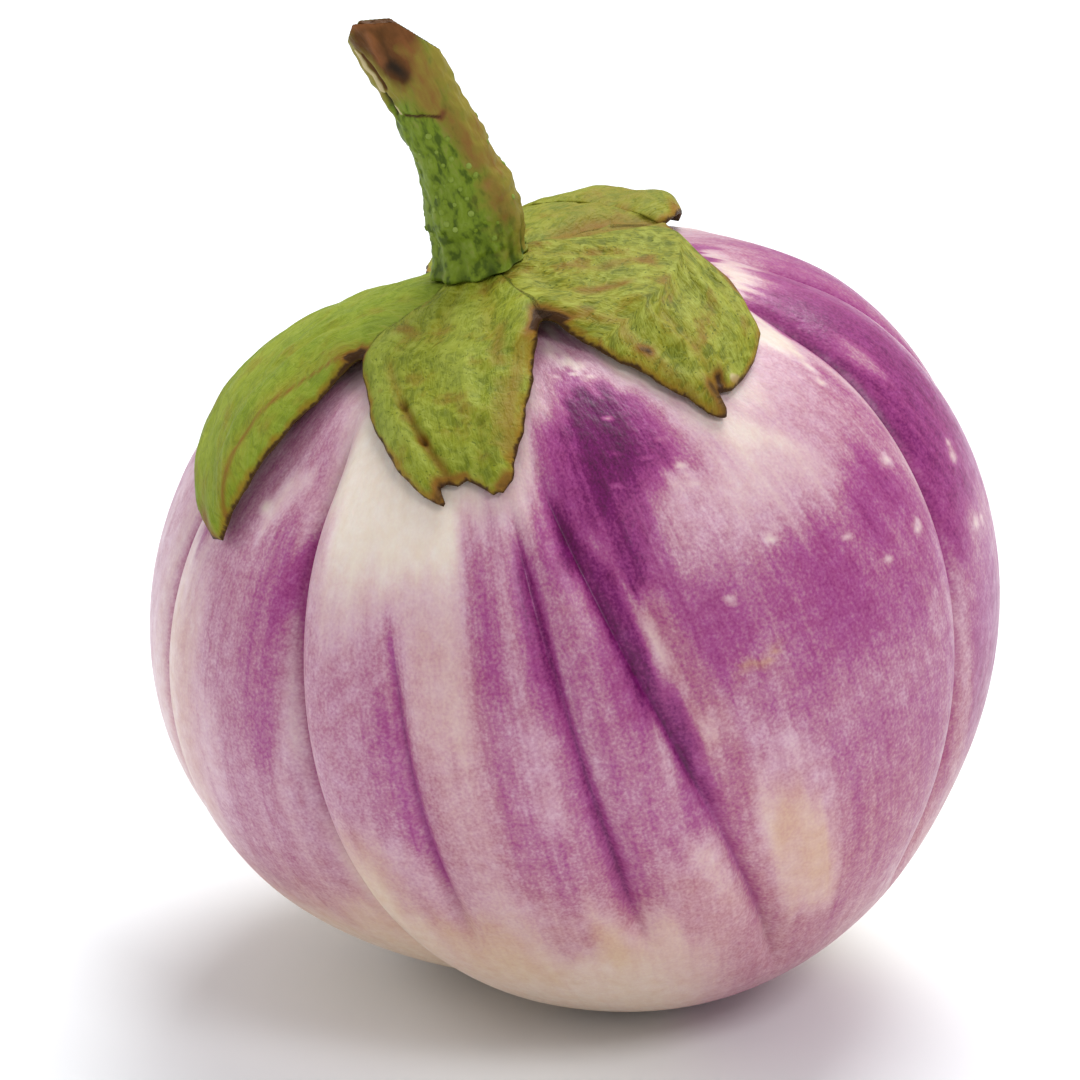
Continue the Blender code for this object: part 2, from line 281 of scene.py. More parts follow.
def read_values(mesh: bpy.types.Mesh, name: str) -> np.ndarray:
    """The numbers or vectors that a mesh's vertices hold under a name, one a row."""
    layer = mesh.attributes[name]
    vector = layer.data_type == "FLOAT_VECTOR"
    flat = np.zeros(len(mesh.vertices) * (3 if vector else 1))
    layer.data.foreach_get("vector" if vector else "value", flat)
    return flat.reshape(-1, 3) if vector else flat


class Recipe:
    """A Geometry Nodes tree with named inputs for its sizes, which turns a source into a plain mesh."""

    def __init__(self, name: str, inputs: Mapping[str, tuple[str, Any]]) -> None:
        """Makes the tree and its sockets.

        Args:
            name: The tree's name.
            inputs: For each named input, its socket type and its value.
        """
        self.tree = bpy.data.node_groups.new(name, "GeometryNodeTree")
        self.values = {label: value for label, (_, value) in inputs.items()}
        self.tree.interface.new_socket("Geometry", in_out="INPUT", socket_type="NodeSocketGeometry")
        self.sockets = {
            label: self.tree.interface.new_socket(label, in_out="INPUT", socket_type=f"NodeSocket{kind}")
            for label, (kind, _) in inputs.items()
        }
        self.tree.interface.new_socket("Geometry", in_out="OUTPUT", socket_type="NodeSocketGeometry")
        self.add = partial(place_node, self.tree)
        self.start = self.add("NodeGroupInput").node.outputs

    def close(self, geometry: bpy.types.NodeSocket) -> None:
        """Ends the tree: instances are made real and get the material."""
        real = self.add("GeometryNodeRealizeInstances", {0: geometry})
        dressed = self.add("GeometryNodeSetMaterial", {0: real, "Material": self.start["Material"]})
        self.add("NodeGroupOutput", {0: dressed})

    def make(self, source: bpy.types.Object, name: str) -> bpy.types.Object:
        """Runs the tree on a source object.

        Args:
            source: The object whose mesh goes in. It is removed.
            name: The name of the result.

        Returns:
            A plain mesh object without modifiers.
        """
        modifier = source.modifiers.new(self.tree.name, "NODES")
        modifier.node_group = self.tree
        for label, socket in self.sockets.items():
            modifier[socket.identifier] = self.values[label]
        graph = bpy.context.evaluated_depsgraph_get()
        mesh = bpy.data.meshes.new_from_object(source.evaluated_get(graph))
        bpy.data.objects.remove(source)
        mesh.name = name
        piece = bpy.data.objects.new(name, mesh)
        bpy.context.scene.collection.objects.link(piece)
        return piece


class Swell(NamedTuple):
    """A broad rise or hollow of the body: its rise in mm, its place and how closely it holds to it."""

    rise: float
    polar: float
    azimuth: float
    spread: float


class Crease(NamedTuple):
    """A meridian furrow between two lobes. Angles in degrees, depths and widths in mm."""

    azimuth: float
    drift: float
    start: float
    end: float
    cut: float
    hollow: float
    left_width: float
    right_width: float


@dataclass(frozen=True)
class Body:
    """The fruit's form, which the skin, the calyx and the stalk's foot all lie on."""

    equator_radius: float = 55.4 * MM
    pole_height: float = 50.3 * MM
    centre: tuple[float, float, float] = (-4.2 * MM, 0.4 * MM, 48.4 * MM)
    lean_left: float = math.radians(12.3)
    lean_front: float = math.radians(8.4)
    rest_blend: float = 0.4 * MM
    crown_dip: float = 2.1 * MM
    crown_dip_run: tuple[float, float] = (12.0, 56.0)
    lay_radius: float = 56.8 * MM
    cut_width: float = 1.3
    crease_fade: float = 16.0
    swells: tuple[Swell, ...] = (
        Swell(3.8, 145.0, 8.0, 5.0),
        Swell(-4.7, 138.0, -35.5, 5.0),
        Swell(2.6, 57.0, 110.0, 5.0),
        Swell(-3.2, 22.0, -148.0, 22.0),
        Swell(2.2, 20.0, 165.0, 50.0),
    )
    creases: tuple[Crease, ...] = (
        Crease(-37.2, 6.5, 26.0, 166.0, 1.4, 3.0, 11.0, 1.6),
        Crease(-21.2, 3.0, 54.0, 116.0, 1.0, 0.9, 4.0, 4.0),
        Crease(1.6, 4.5, 40.0, 118.0, 1.1, 1.1, 4.5, 3.5),
        Crease(14.8, 13.0, 36.0, 136.0, 1.0, 1.3, 3.5, 6.0),
        Crease(62.8, -17.0, 28.0, 134.0, 1.3, 1.9, 3.2, 8.0),
        Crease(98.0, -4.0, 28.0, 130.0, 0.9, 1.3, 6.0, 5.0),
        Crease(129.0, 5.0, 34.0, 124.0, 1.2, 1.4, 5.0, 7.0),
        Crease(160.0, -4.0, 28.0, 138.0, 1.3, 1.8, 8.0, 3.5),
        Crease(192.0, 6.0, 44.0, 120.0, 0.9, 1.0, 4.0, 5.0),
        Crease(222.0, -6.0, 30.0, 132.0, 1.3, 1.7, 4.0, 7.5),
        Crease(254.0, 5.0, 50.0, 122.0, 0.8, 1.0, 5.0, 5.0),
        Crease(286.0, 4.0, 32.0, 134.0, 0.9, 1.3, 6.0, 6.0),
    )
    folds: tuple[Crease, ...] = (Crease(-43.5, 7.0, 44.0, 104.0, 0.5, 0.6, 2.5, 2.5),)

    def axes(self) -> np.ndarray:
        """The front, right and axis directions of the fruit, as the rows of a matrix."""
        left = -math.sin(self.lean_left)
        front = -math.sin(self.lean_front)
        axis = np.array([left, front, math.sqrt(1.0 - left**2 - front**2)])
        forward = np.array([0.0, -1.0, 0.0])
        forward = forward - axis * forward.dot(axis)
        forward /= np.linalg.norm(forward)
        return np.array([forward, np.cross(axis, forward), axis])

    @staticmethod
    def direction(polar: np.ndarray, azimuth: np.ndarray) -> np.ndarray:
        """Unit vectors at these angles, in radians, in the fruit's own axes."""
        ring = np.sin(polar)
        height = np.cos(polar) + 0.0 * azimuth
        return np.stack([ring * np.cos(azimuth), ring * np.sin(azimuth), height], axis=-1)

    def surface(self, polar: np.ndarray, azimuth: np.ndarray, rise: np.ndarray | float = 0.0) -> np.ndarray:
        """Points on the body without its creases, in the row's frame.

        Args:
            polar: Angles from the crown, in radians.
            azimuth: Angles round the axis, in radians.
            rise: How far to go out from the body, in metres.

        Returns:
            One point for each pair of angles.
        """
        outward = self.direction(polar, azimuth)
        swelling = np.zeros(outward.shape[:-1]) + rise
        for swell in self.swells:
            centre = self.direction(np.radians(swell.polar), np.radians(swell.azimuth))
            swelling = swelling + swell.rise * MM * np.exp(swell.spread * (outward @ centre - 1.0))
        dip_start, dip_end = self.crown_dip_run
        swelling = swelling - self.crown_dip * smooth((dip_end - np.degrees(polar)) / (dip_end - dip_start))
        form = outward * np.array([self.equator_radius, self.equator_radius, self.pole_height])
        return (form + outward * swelling[..., None]) @ self.axes() + np.array(self.centre)

    @staticmethod
    def crease_azimuth(crease: Crease, polar: np.ndarray) -> np.ndarray:
        """The azimuth of a crease at a polar angle, in radians."""
        return np.radians(crease.azimuth) + np.radians(crease.drift) * (np.degrees(polar) - 90.0) / 60.0

    def across(self, crease: Crease, polar: np.ndarray, azimuth: np.ndarray) -> np.ndarray:
        """How far places lie to the right of a crease, in mm."""
        turn = azimuth - self.crease_azimuth(crease, polar)
        turn = (turn + math.pi) % (2.0 * math.pi) - math.pi
        return turn * self.equator_radius / MM * np.sin(polar)

    def crease_depth(self, polar: np.ndarray, azimuth: np.ndarray) -> np.ndarray:
        """How deep the creases cut at these places, in metres."""
        depth = np.zeros(np.broadcast(polar, azimuth).shape)
        degrees = np.degrees(polar)
        for crease in self.creases + self.folds:
            across = self.across(crease, polar, azimuth)
            width = np.where(across < 0.0, crease.left_width, crease.right_width)
            run = smooth((degrees - crease.start) / self.crease_fade)
            run = run * smooth((crease.end - degrees) / self.crease_fade)
            cut = crease.cut * np.exp(-np.abs(across) / self.cut_width)
            depth = np.maximum(depth, run * (cut + crease.hollow * np.exp(-np.abs(across) / width)))
        return depth * MM

    def lobe_columns(self, count: int) -> np.ndarray:
        """Deals mesh columns out by the lobes' widths: for each, its lobe's number plus a share across it."""
        starts = np.array([crease.azimuth for crease in self.creases])
        widths = np.diff(np.append(starts, starts[0] + TURN))
        parts = np.round(count * widths / TURN).astype(int)
        return np.concatenate([lobe + np.arange(part) / part for lobe, part in enumerate(parts)])

    def lobe_azimuth(self, place: np.ndarray, polar: np.ndarray) -> np.ndarray:
        """The azimuth of mesh columns, which follow the creases and crowd a little towards them."""
        lobe = np.floor(place + 1e-6).astype(int) % len(self.creases)
        share = place - np.floor(place + 1e-6)
        eased = 0.5 * share + 0.5 * (0.5 - 0.5 * np.cos(math.pi * share))
        edges = np.array([self.crease_azimuth(crease, polar) for crease in self.creases])
        edges = np.vstack([edges, edges[:1] + 2.0 * math.pi])
        column = np.arange(len(polar))
        return edges[lobe, column] * (1.0 - eased) + edges[lobe + 1, column] * eased

    def settled(self, points: np.ndarray) -> np.ndarray:
        """Points let down on the ground: what would go below it lies flat on it."""
        height = points[..., 2]
        rounded = (height + self.rest_blend) ** 2 / (4.0 * self.rest_blend)
        points = points.copy()
        flat = np.where(height < -self.rest_blend, 0.0, np.where(height < self.rest_blend, rounded, height))
        points[..., 2] = flat
        return points


class Layer(Enum):
    """What a stroke of colour changes on the skin."""

    PIGMENT = 0
    WARMTH = 1


class Blush(NamedTuple):
    """A soft stroke of colour down the skin, with all its places and sizes in degrees.

    It runs from its top to its foot, each an azimuth and a polar angle, and the half widths belong to
    them. Soft is how far the sides fade and fade how far the ends do. Hold is how much it hides of what
    lies below it.
    """

    value: float
    top_azimuth: float
    top_polar: float
    foot_azimuth: float
    foot_polar: float
    top_width: float
    foot_width: float
    soft: float
    fade: float
    hold: float = 1.0

    def mask(self, azimuth: np.ndarray, polar: np.ndarray) -> np.ndarray:
        """How strongly the stroke covers these places, in degrees."""
        run = np.clip((polar - self.top_polar) / (self.foot_polar - self.top_polar), 0.0, 1.0)
        centre = self.top_azimuth + (self.foot_azimuth - self.top_azimuth) * run
        half = self.top_width + (self.foot_width - self.top_width) * run
        turn = np.abs((azimuth - centre + TURN / 2.0) % TURN - TURN / 2.0)
        side = smooth((half - turn) / self.soft + 0.5)
        start = smooth((polar - self.top_polar) / self.fade + 0.5)
        end = smooth((self.foot_polar - polar) / self.fade + 0.5)
        return side * (start * end) * self.hold


class Seam(NamedTuple):
    """Darker purple along a crease, pigment with painted shade: its run in degrees and the reach to each side in
    mm.
    """

    crease: int
    start: float
    end: float
    left: float
    right: float
    value: float
    hold: float = 0.9


# The skin's colouring, painted in this order, with the numbers of one Blush in each row. Pigment 0 is bare
# cream and 1 a deep magenta purple. Warmth is a yellow cast of the flesh under the skin.
STROKES: dict[Layer, tuple[tuple[float, ...], ...]] = {
    Layer.PIGMENT: (
        (0.11, 0, 116, 0, 200, 190, 190, 3, 30),
        # Mauve over the lower right and the underside: partly pigment, partly painted shade.
        (0.5, 36, 114, 42, 200, 24, 34, 20, 14),
        # Left lobe.
        (0.22, -74, 46, -72, 96, 5, 5, 5, 10),
        (0.28, -90, 40, -88, 76, 13, 10, 8, 12),
        (0.5, -55, 30, -54, 110, 9, 11, 9, 16),
        (0.3, -64, 58, -63, 100, 3.5, 3.5, 4, 12),
        (0.6, -69.5, 44, -69, 55, 2.5, 2.5, 2.5, 5),
        (0.28, -52, 40, -51.5, 49, 3, 3, 3, 5),
        (0.5, -66, 26, -50, 40, 8, 5, 5, 5),
        (0.61, -46.5, 46, -46.5, 80, 4.5, 4, 5, 10),
        (0.76, -44, 48, -43.5, 60, 2, 2, 3, 6),
        (0.35, -59, 73, -59, 89, 3.5, 3.5, 4, 6),
        (0.45, -41.5, 80, -41, 106, 2.4, 2.4, 2.5, 8),
        # Strip between the deepest crease and the next one.
        (0.03, -30, 26, -27, 52, 12, 9, 4, 10),
        (0.31, -38, 44, -37.5, 66, 3, 2.5, 3, 8),
        (0.49, -31, 60, -29.5, 91, 8, 6.5, 3, 14),
        (0.13, -33, 97, -30, 116, 5, 5, 4, 8),
        (0.58, -25.5, 72, -25, 88, 2.5, 2.5, 3, 8),
        (0.36, -26, 92, -25, 105, 3, 3, 3, 6),
        (0.72, -23.5, 70, -22.5, 92, 1.6, 1.6, 2, 8),
        # Cream field below the front sepal, and the streaky lobe under it.
        (0.04, -15, 36, -15, 54, 8, 6, 4, 8),
        (0.32, -17, 58, -15, 109, 6, 6, 4, 16),
        (0.46, -18.8, 78, -18.2, 101, 2.4, 2.4, 3, 10),
        (0.43, -14, 76, -13, 100, 2.4, 3, 3, 10),
        (0.42, -8, 96, -6, 114, 4, 4, 4, 8),
        (0.56, -8.2, 46, -8, 100, 3.2, 3.4, 3, 12),
        (0.62, -2.4, 67, -1.8, 80, 1.4, 1.4, 2, 6),
        (0.67, -8.2, 56, -8, 70, 1.7, 1.7, 2, 8),
        (0.46, -5, 48, -4.5, 86, 1.2, 1.4, 2, 8),
        (0.6, -4.5, 90, -3.5, 103, 2.2, 2.2, 2.5, 8),
        (0.73, -1.8, 51, -1, 72, 2.2, 2.2, 2.5, 8),
        (0.52, -1.5, 80, 0, 106, 2, 2.2, 2.5, 10),
        # Between the two middle creases.
        (0.57, 4.2, 46, 7.5, 100, 4, 4.5, 2.5, 10),
        (0.74, 4, 47, 4.5, 57, 2.5, 2.5, 2.5, 5),
        (1.08, 7, 46, 7.5, 56, 2.2, 2.2, 2.4, 5),
        (0.68, 7.2, 64, 8.5, 78, 2, 2, 2.5, 8),
        (0.98, 10, 53, 11.2, 75, 2, 2, 2.4, 7),
        (0.88, 12.6, 73, 14.6, 86, 1.8, 1.8, 2.4, 6),
        (0.74, 15.6, 86, 16.6, 96, 1.7, 1.7, 2.4, 6),
        (0.62, 4.5, 94, 6.5, 108, 3, 3, 3, 8),
        (0.43, 10, 98, 13.5, 116, 3, 4, 3, 10),
        (0.66, 13, 85, 13, 96, 1.5, 1.5, 2, 6),
        # Right lobe: the pale ring and the dark blotch with its fringe.
        (0.05, 24, 16, 40, 52, 22, 9, 5, 8),
        (0.36, 34, 36, 33, 55, 5, 6, 5, 7),
        (0.58, 30, 31, 28, 47, 4.5, 5, 5, 6),
        (0.9, 25, 29, 23.5, 46, 6, 5.5, 5, 6),
        (1.1, 18.5, 28, 16, 49, 7, 6.2, 4, 6),
        (0.8, 20, 45, 18.5, 57, 4, 3.5, 5, 8),
        (0.94, 14.5, 47, 15.5, 60, 3, 2.6, 3, 8),
        (0.7, 8, 33, 6, 50, 3.4, 3.4, 3.5, 8),
        (0.88, 11, 32, 9.5, 52, 2.8, 2.6, 2.5, 6),
        (0.46, 20, 17, 20, 30, 12, 11, 6, 4),
        (0.22, 19, 21, 19.5, 24.5, 3.4, 3.4, 3, 2.5),
        (0.72, 18, 27, 16.5, 31, 6, 5.5, 5, 4),
        # The lavender saddle, the purple band across the lobe and the mauve below it.
        (0.44, 26, 50, 28, 60, 5, 7, 6, 7),
        (0.3, 40, 50, 46, 58, 7, 12, 6, 7),
        (0.13, 43, 40, 50, 48, 8, 9, 6, 6),
        (0.38, 60, 39, 62, 48, 6, 6, 6, 6),
        (0.38, 52, 43, 57, 50, 9, 9, 6, 6),
        (0.46, 58, 48, 62, 60, 8, 9, 7, 8),
        (0.58, 67, 46, 65.5, 62, 2.6, 2.6, 2.5, 6),
        (0.65, 42, 59, 43, 86, 24, 22, 5, 12),
        (0.76, 22, 62, 22.5, 74, 3.4, 3, 4, 8),
        (0.74, 40, 63, 42, 78, 5.5, 6, 6, 8),
        (0.77, 55, 59, 56, 69, 5, 5, 5, 8),
        (0.54, 28, 72, 27, 82, 3.5, 4, 5, 8),
        (0.7, 19, 55, 19.5, 69, 2.2, 2.2, 3, 8),
        (0.6, 15.8, 60, 18, 80, 1.6, 2, 2.4, 8),
        (0.6, 46, 84, 48, 124, 17, 15, 7, 16),
        (0.52, 21, 80, 23, 92, 3.5, 3, 4, 10),
        (0.44, 26, 90, 30, 102, 5, 4, 5, 10),
        (0.25, 26, 97, 28.5, 118, 2.8, 3.6, 4, 10),
        (0.56, 18.8, 84, 19.2, 102, 1.7, 1.7, 2.5, 7),
        (0.47, 19.5, 100, 23, 124, 2.2, 3, 3.5, 12),
        # Behind the right crease.
        (0.86, 96, 26, 96, 31, 13, 13, 5, 3),
        (0.1, 84, 31, 84, 35.5, 22, 18, 6, 3),
        (0.05, 68, 33, 69.5, 43, 6, 5, 4, 5),
        (0.82, 85, 36, 81, 79, 14, 9, 4, 7),
        (0.9, 85.5, 41, 83, 63, 4, 4, 5, 8),
        (0.88, 74, 57, 72.5, 76, 2.2, 2.6, 3, 8),
        (0.82, 71, 70, 69.5, 84, 2.4, 2.4, 2.5, 6),
        (0.54, 79.5, 49, 79, 56, 2, 2, 3, 5),
        (0.74, 76, 80, 70, 120, 9, 8, 6, 30),
        (0.66, 90, 78, 86, 112, 9, 9, 8, 34),
        (0.66, 104, 38, 104, 88, 10, 9, 8, 30),
        # The back, which the photo doesn't show, in the manner of the front.
        (0.5, 114, 34, 114, 116, 10, 9, 8, 36),
        (0.72, 110, 36, 111, 80, 6, 4, 7, 30),
        (0.5, 145, 36, 146, 118, 11, 9, 8, 34),
        (0.74, 140, 38, 141, 86, 6, 5, 7, 30),
        (0.62, 151, 50, 150, 104, 2, 2, 3, 24),
        (0.16, 155, 40, 152, 110, 2, 2, 4, 20),
        (0.46, 177, 36, 178, 120, 11, 10, 8, 34),
        (0.86, 171, 34, 174, 64, 5, 4, 7, 26),
        (0.62, 181, 52, 182, 108, 3, 3, 4, 26),
        (0.16, 189, 40, 190, 108, 2, 3, 4, 20),
        (0.5, 207, 40, 208, 116, 10, 8, 8, 34),
        (0.7, 203, 44, 204, 92, 4, 4, 6, 30),
        (0.66, 212, 50, 211, 100, 2, 2, 3, 24),
        (0.48, 238, 38, 238, 114, 11, 9, 8, 34),
        (0.78, 231, 40, 231, 80, 5, 5, 7, 30),
        (0.14, 246, 44, 247, 106, 2, 3, 4, 20),
        (0.42, 268, 40, 268, 110, 9, 8, 8, 34),
        (0.6, 262, 44, 262, 90, 4, 4, 6, 30),
        # An orange scuff on the right lobe.
        (0.36, 27.5, 73.6, 27, 74.8, 3, 3, 1.4, 1.6, 0.8),
    ),
    Layer.WARMTH: (
        (0.62, 0, 100, 0, 200, 190, 190, 3, 26),
        (0.8, -60, 106, -45, 160, 24, 24, 10, 14),
        (0.55, -69, 62, -68, 96, 6, 8, 5, 10),
        (0.95, -24, 104, -18, 122, 8, 9, 5, 8),
        (0.7, -33, 88, -28, 120, 4, 6, 4, 8),
        (1, -2, 109, 0, 119, 2, 2, 2.5, 5),
        (0.8, 25, 95, 29, 116, 2.6, 3.6, 4, 8),
        (1, 24, 97, 24.5, 103, 1.5, 1.8, 2, 4),
        (1, 28, 104, 29, 112, 1.6, 1.8, 2, 4),
        (0.6, 10, 101, 12, 107, 1.8, 2, 2, 4),
        (0.45, 15, 60, 20, 98, 2.2, 3.2, 2.4, 9),
        (0.45, -15, 60, -15, 104, 5, 6, 4, 9),
        (1.3, 27, 73.6, 26.5, 74.8, 3.4, 3.4, 1.4, 1.6),
    ),
}

# Darker purple along the creases, partly pigment and partly painted shade.
CREASE_PIGMENT_AND_SHADE = (
    Seam(0, 44.0, 92.0, 1.1, 0.6, 0.80),
    Seam(0, 92.0, 116.0, 0.9, 0.5, 0.40),
    Seam(1, 58.0, 100.0, 0.8, 0.8, 0.84),
    Seam(1, 60.0, 108.0, 2.8, 2.2, 0.55, 0.6),
    Seam(2, 48.0, 108.0, 1.4, 1.0, 1.0),
    Seam(2, 54.0, 112.0, 2.4, 2.0, 0.62, 0.6),
    Seam(3, 44.0, 90.0, 0.8, 0.8, 1.12),
    Seam(3, 84.0, 116.0, 0.9, 0.9, 0.78),
    Seam(3, 44.0, 120.0, 2.6, 2.0, 0.60, 0.6),
    Seam(4, 42.0, 84.0, 0.6, 2.0, 0.92),
    Seam(4, 84.0, 118.0, 0.5, 1.6, 0.66),
    Seam(5, 40.0, 100.0, 1.4, 1.4, 0.90),
    Seam(6, 44.0, 104.0, 1.6, 1.6, 0.95),
    Seam(7, 40.0, 110.0, 2.0, 1.2, 0.95),
    Seam(8, 50.0, 104.0, 1.2, 1.2, 0.90),
    Seam(9, 42.0, 110.0, 1.2, 1.8, 0.95),
    Seam(10, 56.0, 104.0, 1.2, 1.2, 0.70),
    Seam(11, 44.0, 104.0, 1.2, 1.2, 0.60),
)

# Small bare flecks in the purple: azimuth, polar angle and radius in mm.
FLECKS = (
    (26.0, 65.5, 0.55), (35.2, 60.6, 0.7), (37.4, 59.6, 0.55), (62.0, 62.0, 0.8), (51.0, 72.0, 0.6),
    (60.0, 71.5, 0.7), (47.0, 66.0, 0.45), (79.0, 71.5, 1.0), (76.0, 81.0, 0.9), (23.5, 26.0, 0.8),
    (21.0, 24.5, 0.9), (-56.0, 45.5, 1.0), (28.5, 46.5, 0.4), (28.5, 49.5, 0.35), (37.5, 60.0, 0.4),
    (37.5, 61.5, 0.35), (26.5, 65.5, 0.4), (59.5, 72.0, 0.6), (80.0, 70.0, 0.7), (78.5, 82.0, 0.6),
    (16.5, 26.5, 0.4), (21.0, 27.0, 0.4), (24.0, 28.5, 0.4), (31.0, 38.0, 0.25), (26.0, 40.0, 0.25),
    (19.5, 41.5, 0.25), (24.5, 43.5, 0.3), (17.0, 46.0, 0.25), (29.0, 42.0, 0.25), (22.0, 36.0, 0.25),
)

# The healed cream scratch beside the right sepal, as a close row of flecks that thins out downwards.
SCRATCH = tuple(
    (75.5 - 14.5 * share + 3.0 * share * share, 35.0 + 14.0 * share, 0.68 - 0.34 * share)
    for share in np.linspace(0.0, 1.0, 44)
)


@dataclass(frozen=True)
class SkinFinish:
    """Eggplant skin: a clear waxy cuticle over cream flesh, grown smooth and coloured by purple sap.

    The wax gives a broad satin highlight, and the sap sits in single cells, so the mid tones are stippled
    and drawn out into fine streaks along the meridians.
    """

    ivory: str = "#ebe0d4"
    straw: str = "#dfcaa2"
    stipple_mm: float = 0.42
    streak_mm: float = 0.9
    band_mm: float = 4.0
    mottle_mm: float = 2.0
    # How strongly the bands, streaks, mottling and dots change the pigment, and how long the streaks are.
    strengths: tuple[float, ...] = (0.2, 0.26, 0.26, 0.42)
    streak_stretch: tuple[float, float, float] = (1.0, 1.0, 0.05)
    full_density: float = 1.25
    roughness: float = 0.34
    ior: float = 1.4
    # What a film of sap lets through, from none to the thickest.
    sap: tuple[tuple[float, str], ...] = (
        (0.0, "#ffffff"),
        (0.16, "#f0dcec"),
        (0.3, "#e0bbdc"),
        (0.44, "#c68bb8"),
        (0.54, "#b763ac"),
        (0.64, "#a9489d"),
        (0.8, "#801a78"),
        (0.92, "#680d60"),
        (1.0, "#540650"),
    )

    def material(self) -> bpy.types.Material:
        """Builds the skin's material from the attributes tone and skin, both in mm or shares."""
        material, tree = new_material("waxy eggplant skin")
        add = partial(place_node, tree)
        skin = add(ATTRIBUTE, output="Vector", attribute_name="skin")
        tone = add(ATTRIBUTE, output="Vector", attribute_name="tone")
        pigment, warmth, chalk = add(SPLIT, {0: tone}).node.outputs
        drawn = add(VECTOR_MATH, {0: skin, 1: self.streak_stretch}, operation="MULTIPLY")
        band, streak, mottle, dots = (
            add(NOISE, {"Vector": place, "Scale": 1.0 / size, "Detail": detail})
            for place, size, detail in (
                (drawn, self.band_mm, 3.0),
                (drawn, self.streak_mm, 2.0),
                (skin, self.mottle_mm, 4.0),
                (skin, self.stipple_mm, 1.0),
            )
        )
        change: Any = 0.0
        for pattern, strength in zip((band, streak, mottle, dots), self.strengths):
            centred = add(MATH, {0: pattern, 1: 0.5}, operation="SUBTRACT")
            change = add(MATH, {0: centred, 1: strength, 2: change}, operation="MULTIPLY_ADD")
        reach = add(SPAN, {0: pigment, 1: 0.02, 2: 0.6, 3: 0.16})
        density = add(MATH, {0: change, 1: reach, 2: pigment}, operation="MULTIPLY_ADD")
        bare = add(MATH, {0: 1.0, 1: chalk}, operation="SUBTRACT")
        density = add(MATH, {0: density, 1: bare}, operation="MULTIPLY")
        share = add(MATH, {0: density, 1: self.full_density}, operation="DIVIDE", use_clamp=True)
        film = add(RAMP, {0: share}, stops=self.sap)
        warm_edge = add(MATH, {0: mottle, 1: 0.7, 2: -0.35}, operation="MULTIPLY_ADD")
        warm = add(MATH, {0: warm_edge, 1: warmth}, operation="ADD", use_clamp=True)
        flesh = paint_over(tree, hex_colour(self.ivory), [(warm, self.straw)])
        filmed = {0: 1.0, 6: flesh, 7: film}
        colour = add("ShaderNodeMix", filmed, 2, data_type="RGBA", blend_type="MULTIPLY")
        gloss = add(SPAN, {0: mottle, 1: 0.3, 2: 0.7, 3: self.roughness - 0.05, 4: self.roughness + 0.06})
        bumps = ((0.2, 0.15 * MM, streak), (0.3, 0.5 * MM, mottle))
        values = {
            "Roughness": gloss,
            "IOR": self.ior,
            "Specular IOR Level": 0.38,
            "Coat Weight": 0.06,
            "Coat Roughness": 0.2,
            "Subsurface Weight": 0.12,
            "Subsurface Radius": (1.0, 0.5, 0.4),
            "Subsurface Scale": 1.5 * MM,
        }
        finish_surface(tree, colour, bumps, values)
        return material


